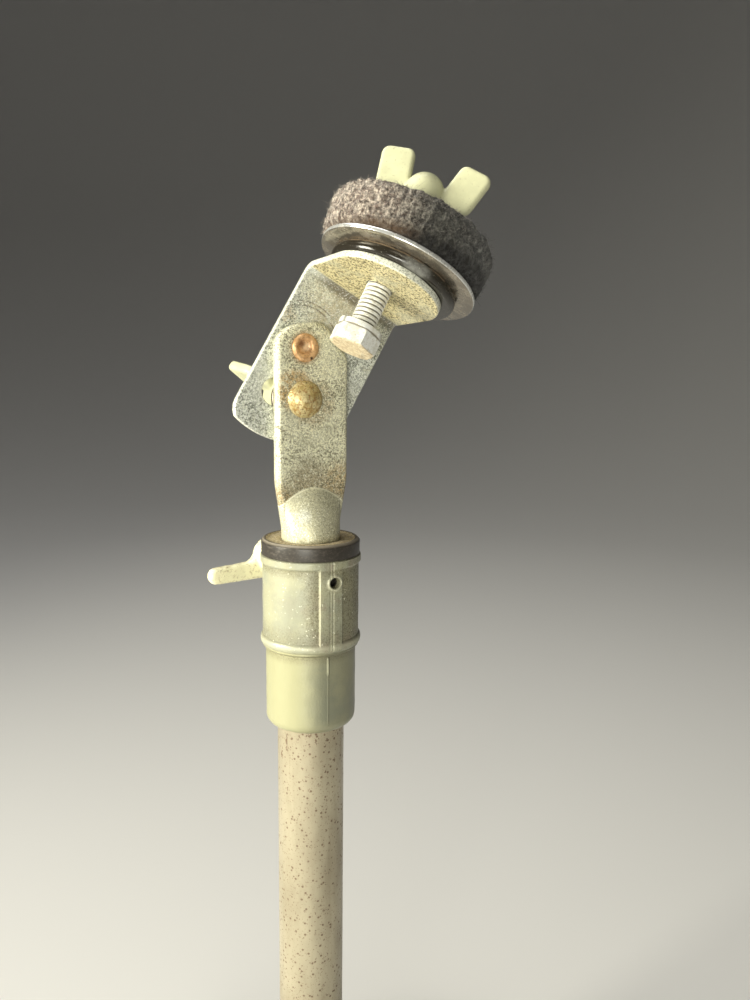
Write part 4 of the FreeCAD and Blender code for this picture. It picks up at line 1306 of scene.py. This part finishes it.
def bracket_flat_loops():
    """Outline of the bracket before bending, with the arc slot, the pivot hole and the bolt hole."""
    bend_start = TAB_HEIGHT - BEND_INNER
    bend_length = (BEND_INNER + PLATE / 2) * math.radians(90 - BEND_OPENING)
    lean = math.tan(math.radians(LEG_TAPER))
    top_right = LEG_RIGHT + bend_start * lean
    low_right = LEG_RIGHT - 16 * lean
    centre = (top_right - TAB_LEFT) / 2
    half = (top_right + TAB_LEFT) / 2
    tab_centre = bend_start + bend_length + TAB_CENTRE - BEND_INNER
    outline = [(top_right, bend_start + bend_length + 2)]
    outline += arc(centre, tab_centre, half, half, 0, 180, 48)
    left_end = math.degrees(math.asin((LEG_LEFT - 2.2) / LEG_ARC))
    right_end = math.degrees(math.asin((low_right - 2.4) / LEG_ARC))
    outline += [
        (-TAB_LEFT, bend_start), (-LEG_LEFT, -23.6),
        (-LEG_LEFT + 0.25, -25.6), (-LEG_LEFT + 0.95, -27.3),
    ]
    outline += [below(LEG_ARC, -left_end + (left_end + right_end) * k / 40) for k in range(41)]
    outline += [(low_right - 0.7, -16.2), (low_right, -13.6)]
    radius = (PIVOT - TILT_BOLT).length
    span = SLOT_TO - SLOT_FROM
    slot = [below(radius + SLOT_HALF_WIDTH, SLOT_FROM + span * k / 40) for k in range(41)]
    slot += cap(radius, SLOT_TO, 1)
    slot += [below(radius - SLOT_HALF_WIDTH, SLOT_TO - span * k / 40) for k in range(41)]
    slot += cap(radius, SLOT_FROM, -1)
    pivot_hole = [(2.46 * math.cos(a), 2.46 * math.sin(a)) for a in around(32)]
    bolt_y = bend_start + bend_length + BOLT_FROM_LEG - BEND_INNER
    bolt_hole = [(BOLT_SIDE + 4.2 * math.cos(a), bolt_y + 4.2 * math.sin(a)) for a in around(40)]
    return [dense(outline, 0.8), slot, pivot_hole, bolt_hole]


def cap(radius, degrees, sign):
    """Points of the round end of the arc slot, without its two end points."""
    angle = math.radians(degrees)
    outward = Vector((math.sin(angle), -math.cos(angle))) * sign
    forward = Vector((math.cos(angle), math.sin(angle))) * sign
    points = []
    for k in range(1, 14):
        turn = math.radians(180 * k / 14)
        step = (outward * math.cos(turn) + forward * math.sin(turn)) * SLOT_HALF_WIDTH
        points.append(tuple(Vector(below(radius, degrees)) + step))
    return points


def bend_sheet(x, y, z):
    """Flat sheet to bracket frame: leg stays put, then the bend, then the tab."""
    bend_start = TAB_HEIGHT - BEND_INNER
    turn = math.radians(90 - BEND_OPENING)
    middle_radius = BEND_INNER + PLATE / 2
    if y <= bend_start:
        return (x, LEG_FRONT + z, y)
    angle = min(turn, (y - bend_start) / middle_radius)
    reach = BEND_INNER + z
    past = max(0.0, y - bend_start - middle_radius * turn)
    depth = LEG_FRONT - BEND_INNER + reach * math.cos(angle) - past * math.sin(angle)
    return (x, depth, bend_start + reach * math.sin(angle) + past * math.cos(angle))


def make_bracket(material):
    bracket = sheet_metal("bent_plate", bracket_flat_loops(), PLATE, 0.42, 0.7, bend_sheet)
    tab_normal = Vector(bend_sheet(0, 60, 1)) - Vector(bend_sheet(0, 60, 0))
    layer = bracket.data.attributes.new("rim", "FLOAT", "POINT")
    for vertex, item in zip(bracket.data.vertices, layer.data):
        normal = vertex.normal
        if vertex.co.y < LEG_FRONT - 1.5:
            item.value = 1 - abs(normal.dot(tab_normal))
        elif vertex.co.z < TAB_HEIGHT - 2:
            item.value = 1 - abs(normal.y)
        else:
            item.value = abs(normal.x)
    place(bracket, BRACKET)
    return finish_piece(bracket, "head", ["bracket"], material, 35)


def collar_radius(angle, z):
    """Collar's outside radius at an angle from the front (radians), z below the ring top."""
    drum, sleeve = DRUM_RADIUS, SLEEVE_RADIUS
    degrees = math.degrees(angle)
    across = abs(degrees)
    r = drum if z < 36.0 else sleeve
    if z < 30:
        lip = 1 - smooth_between(7.3, 8.1, z)
        r = max(r, drum + (BEAD_RADIUS - drum) * lip)
    off = (z - BEAD_DEPTH) / 1.5
    if abs(off) < 1:
        r = max(r, drum + (BEAD_RADIUS - drum + 0.1) * math.sqrt(1 - off * off))
    elif 34.4 < z < 36.6:
        step = smooth_between(34.8, 36.5, z)
        r = max(sleeve, min(r, drum + 0.5 - (drum + 0.5 - sleeve) * step))
    if z < DRUM_FOOT:
        strip = 1 - smooth_between(13.0, 14.8, across)
        fade = 1 - smooth_between(DRUM_FOOT - 0.6, DRUM_FOOT, z)
        r = max(r, r + (16.35 - r) * strip * fade)
        r -= 0.10 * math.exp(-((across - 1.8) / 0.7) ** 2) * fade
        r += 0.10 * smooth_between(1.8, 3.0, degrees) * strip * fade
    if 36.2 < z < 59:
        r += 0.10 * math.exp(-((degrees + 2.0) / 0.8) ** 2)
    flash = smooth_between(36.4, 37.2, z) * (1 - smooth_between(41.5, 43.0, z))
    return r + 0.32 * flash * math.exp(-((degrees + 2.2) / 1.1) ** 2)


def from_hole(angle, depth):
    """Distance along the collar's surface from the middle of the rimmed hole."""
    return math.hypot((angle - HOLE_TURN) * 16, depth - (RING_TOP - CLAMP_POINT.z))


def collar_grime_and_shade(co):
    """Darker under the lip, round the bead and beside the strip, a dark seam, and painted shade on the
    panel right of the strip and down the small hole.
    """
    depth = RING_TOP - co.z
    angle = math.atan2(co.x, -co.y)
    degrees = math.degrees(angle)
    across = abs(degrees)
    under_lip = smooth_between(7.6, 8.1, depth) * (1 - smooth_between(8.4, 11.5, depth))
    above_bead = smooth_between(24.0, 31.0, depth) * (1 - smooth_between(31.6, 32.6, depth))
    below_bead = smooth_between(34.9, 35.6, depth) * (1 - smooth_between(36.2, 39.5, depth))
    panel = smooth_between(8.0, 9.0, depth) * (1 - smooth_between(31.0, 32.5, depth))
    beside = smooth_between(13.5, 14.8, across) * (1 - smooth_between(17.0, 40.0, across))
    # Painted shade on the panel right of the strip, away from the light.
    shaded = smooth_between(14.0, 15.0, degrees) * (1 - smooth_between(60, 90, across))
    seam = math.exp(-((degrees + 1.1) / 0.5) ** 2) if 36.6 < depth < 59.5 else 0.0
    # Painted shade down the small hole, going up to 2 so the material paints it near-black.
    hole = 2 - 2 * smooth_between(1.25, 1.9, from_hole(angle, depth))
    return max(0.7 * under_lip, 0.5 * above_bead, 0.6 * below_bead, 0.8 * panel * beside,
               0.85 * panel * shaded, 0.9 * seam, hole)


def collar_edge(co):
    """Pale worn metal on the strip's sides, the bead and the rim of the hole."""
    depth = RING_TOP - co.z
    angle = math.atan2(co.x, -co.y)
    across = abs(math.degrees(angle))
    strip = math.exp(-((across - 13.6) / 0.7) ** 2) if 8 < depth < 33 else 0.0
    bead = math.exp(-((depth - 32.9) / 0.7) ** 2)
    return max(strip, bead, math.exp(-((from_hole(angle, depth) - 2.2) / 0.4) ** 2))


def make_collar(material):
    """Die-cast collar: lip, bead, front strip, seam and rimmed hole, plus a screw boss."""
    segments = 540
    top, foot, foot_round = COLLAR_TOP, COLLAR_FOOT, 3.2
    inner, counterbore, step = SLIDER_RADIUS + 0.3, TUBE_RADIUS + 0.02, 29.0
    shaped = None          # stands for collar_radius in the list below
    outline = [(inner, top), (14.0, top)]
    z = top
    while z < foot - foot_round:
        outline.append((shaped, z))
        z += 0.25 if z < 15 or 31 < z < 44 else 0.8
    for k in range(9):
        angle = math.radians(90 * k / 8)
        r = SLEEVE_RADIUS - foot_round * (1 - math.cos(angle))
        outline.append((r, foot - foot_round * (1 - math.sin(angle))))
    outline += [(counterbore, foot), (counterbore, step), (inner, step)]
    stack = []
    for radius, depth in outline:
        one = []
        for turn in around(segments):
            angle = (turn + math.pi / segments + math.pi) % (2 * math.pi) - math.pi
            r = radius
            if r is shaped:
                away = from_hole(angle, depth)
                r = collar_radius(angle, depth) - (0.45 if depth == top else 0)
                r += 0.34 * math.exp(-((away - 2.15) / 0.42) ** 2)
                r -= 2.6 * (1 - smooth_between(1.35, 1.75, away))
            one.append(Vector((r * math.sin(angle), -r * math.cos(angle), RING_TOP - depth)))
        stack.append(one)
    collar = solid("collar_body", *skin(stack, closed_loop=True))
    for vertex in collar.data.vertices:
        out = math.hypot(vertex.co.x, vertex.co.y)
        if out > 14.3:
            lump = noise.fractal(vertex.co * 0.22, 1.0, 2.0, 2) * 0.07
            vertex.co.x *= 1 + lump / out
            vertex.co.y *= 1 + lump / out
    radius, end = 6.2, 23.0
    profile = [(0, 12.9), (radius, 12.9), (radius, end - 1.0)]
    profile += arc(radius - 1.0, end - 1.0, 1.0, 1.0, 0, 90, 6)[1:]
    profile += [(3.3, end), (3.0, end - 0.5), (3.0, 14.6), (0, 14.6)]
    collar = join(collar, place(lathe("boss", profile, 96), CLAMP))
    collar.name = "cast_collar"
    mark(collar, "grime_and_shade", collar_grime_and_shade)
    mark(collar, "edge", collar_edge)
    return finish_piece(collar, "stand", ["clamp_collar"], material, 30)


def make_bush(material):
    """Black bush: flange with a raised rim and a shallow dusty dish, and a skirt down the bore."""
    top, bore, outer, skirt = RING_TOP, SLIDER_RADIUS + 0.07, 16.08, 12.5
    under, low = top - COLLAR_TOP, top - 26.0
    outline = [
        (bore, low, 0.3), (skirt, low, 0.3), (skirt, under, 0), (outer - 0.1, under, 0.25),
        (outer, top - 0.85, 0.3), (outer - 0.75, top, 0.3), (outer - 1.55, top, 0.3),
        (outer - 1.95, top - 0.45, 0.3), (bore + 1.4, top - 0.3, 0.5), (bore, top - 0.6, 0.3),
    ]
    bush = lathe("flanged_bush", rounded(outline, 0.3, 4), 160)
    return finish_piece(bush, "stand", ["collar_bush"], material, 40)


def make_base(material):
    """Cast base: rounded rim, gently crowned top that sweeps up into the hub, hollow underneath."""
    low, rim_top, hub, hub_top, outer, socket = 3.0, 11.0, 17.0, 33.0, 76.0, TUBE_RADIUS + 0.03
    outline = [
        (socket, 19.0, 0), (5.3, 19.0, 0), (5.3, 15.0, 0), (13.0, 15.0, 0.5), (13.0, 7.0, 0.8),
        (62.0, 7.0, 1.5), (62.0, low, 0.5), (outer - 0.3, low, 1.0), (outer, rim_top, 3.2),
        (hub + 26, rim_top + 4.5, 60), (hub + 5, rim_top + 8.5, 16), (hub, hub_top, 1.6),
        (socket, hub_top, 0.4),
    ]
    base = lathe("weighted_base", rounded(outline, 0.5, 10), 192)
    mark(base, "rim", lambda co: smooth_between(73.0, 75.6, math.hypot(co.x, co.y)))
    return finish_piece(base, "stand", ["base_plate"], material, 32)


def dress(node, material):
    """Better material on a CAD piece whose shape is kept."""
    piece = frame["nodes"][node]
    piece.data.materials.clear()
    piece.data.materials.append(material)


# ---------------------------------------------------------------- build
bright = make_bright_look()
washer = make_washer_look()
cream = make_cream_look("nut_cream_look", (0.60, 0.60, 0.385), 0.10)
make_bracket(make_bracket_look())
make_neck(make_neck_look())
make_rivet(make_rivet_look())
make_carriage_bolt(make_bolt_brass_look())
make_hex_bolt(bright)
make_lock_washer(bright)
make_rubber_washer(make_rubber_look())
make_washers(washer)
make_felt(make_felt_look())
make_wing_nuts(cream)
make_clamp_screw(make_cream_look("lever_cast_look", (0.90, 0.86, 0.58), 0.7, (0.36, 0.27, 0.12)))
make_collar(make_collar_look())
make_bush(make_bush_look())
make_base(make_base_look())
dress("outer_tube", make_tube_look())
dress("rubber_feet", make_foot_look())
plain = make_plain_look("plain_steel_look", (0.45, 0.44, 0.42), 0.4, 0.85)
for hidden in ("base_bolt", "base_spring_washer", "base_flat_washer", "tube_plug"):
    dress(hidden, plain)
dress("clamp_pad", make_plain_look("pad_brass_look", (0.68, 0.54, 0.28), 0.35, 0.9))
dress("guide_plug", make_plain_look("nylon_look", (0.82, 0.81, 0.74), 0.5, 0.0))


# ---------------------------------------------------------------- floor, light and camera
def make_floor():
    """Pale floor that curves up all round into a seamless backdrop, in metres."""
    flat, bend, height, segments = 1.3, 2.8, 3.8, 96
    profile = [(0.5, 0.0), (0.9, 0.0), (flat, 0.0), *arc(flat, bend, bend, bend, -90, 0, 16)[1:]]
    profile.append((flat + bend, height))
    vertices = [(0, 0, 0)]
    for r, z in profile:
        vertices += [tuple(polar(r, angle, z)) for angle in around(segments)]
    faces = [(0, 1 + k, 1 + (k + 1) % segments) for k in range(segments)]
    for i in range(len(profile) - 1):
        a = 1 + i * segments
        for k in range(segments):
            n = (k + 1) % segments
            faces.append((a + k, a + segments + k, a + segments + n, a + n))
    mesh_data = bpy.data.meshes.new("floor")
    mesh_data.from_pydata(vertices, [], faces)
    mesh_data.shade_smooth()
    floor = bpy.data.objects.new("floor", mesh_data)
    bpy.context.collection.objects.link(floor)
    look = Look("floor_look", 0.85)
    look.colour((0.80, 0.79, 0.77))
    floor.data.materials.append(look.material)


def area_light(name, place_at, aim, size, power, colour, spread=180.0):
    data = bpy.data.lights.new(name, "AREA")
    data.shape = "RECTANGLE"
    data.size, data.size_y = size
    data.energy = power
    data.spread = math.radians(spread)
    data.color = colour
    lamp = bpy.data.objects.new(name, data)
    lamp.location = place_at
    lamp.rotation_euler = (Vector(aim) - Vector(place_at)).to_track_quat("-Z", "Y").to_euler()
    bpy.context.collection.objects.link(lamp)


def make_lights():
    """Warm key from the left, a second one from the left front, a soft light overhead."""
    scene = bpy.context.scene
    scene.view_settings.view_transform = "Standard"
    world = bpy.data.worlds.new("studio")
    world.use_nodes = True
    background = world.node_tree.nodes["Background"]
    background.inputs["Color"].default_value = (0.80, 0.80, 0.80, 1)
    background.inputs["Strength"].default_value = 0.06
    scene.world = world
    head = (0.0, 0.0, 0.27)
    area_light("key", (-1.08, 0.08, 0.44), head, (0.5, 0.45), 6.4, (1.0, 0.97, 0.82), 90.0)
    area_light("front", (-0.66, -0.88, 0.20), head, (0.5, 0.36), 2.3, (1.0, 0.98, 0.87), 90.0)
    area_light("top", (-0.25, 0.30, 1.45), head, (1.0, 1.0), 9.0, (1.0, 0.99, 0.95))


def make_camera():
    """Viewing point level with the head's foot, looking slightly down and to the right."""
    yaw, pitch, roll = (math.radians(v) for v in (28.45, 9.10, 0.64))
    level = Vector((math.cos(yaw), -math.sin(yaw), 0))
    ahead = Vector((math.sin(yaw), math.cos(yaw), 0))
    forward = ahead * math.cos(pitch) - Z_AXIS * math.sin(pitch)
    upright = level.cross(forward)
    right = level * math.cos(roll) + upright * math.sin(roll)
    up = upright * math.cos(roll) - level * math.sin(roll)
    data = bpy.data.cameras.new("camera")
    data.sensor_width = 36.0
    data.lens = 30.39
    data.clip_start = 0.01
    camera = bpy.data.objects.new("camera", data)
    turn = Matrix((right, up, -forward)).transposed().to_4x4()
    position = Vector((-110.4, -247.6, RING_TOP + 55.6)) * MM
    camera.matrix_world = Matrix.Translation(position) @ turn
    bpy.context.collection.objects.link(camera)
    bpy.context.scene.camera = camera


make_floor()
make_lights()
make_camera()
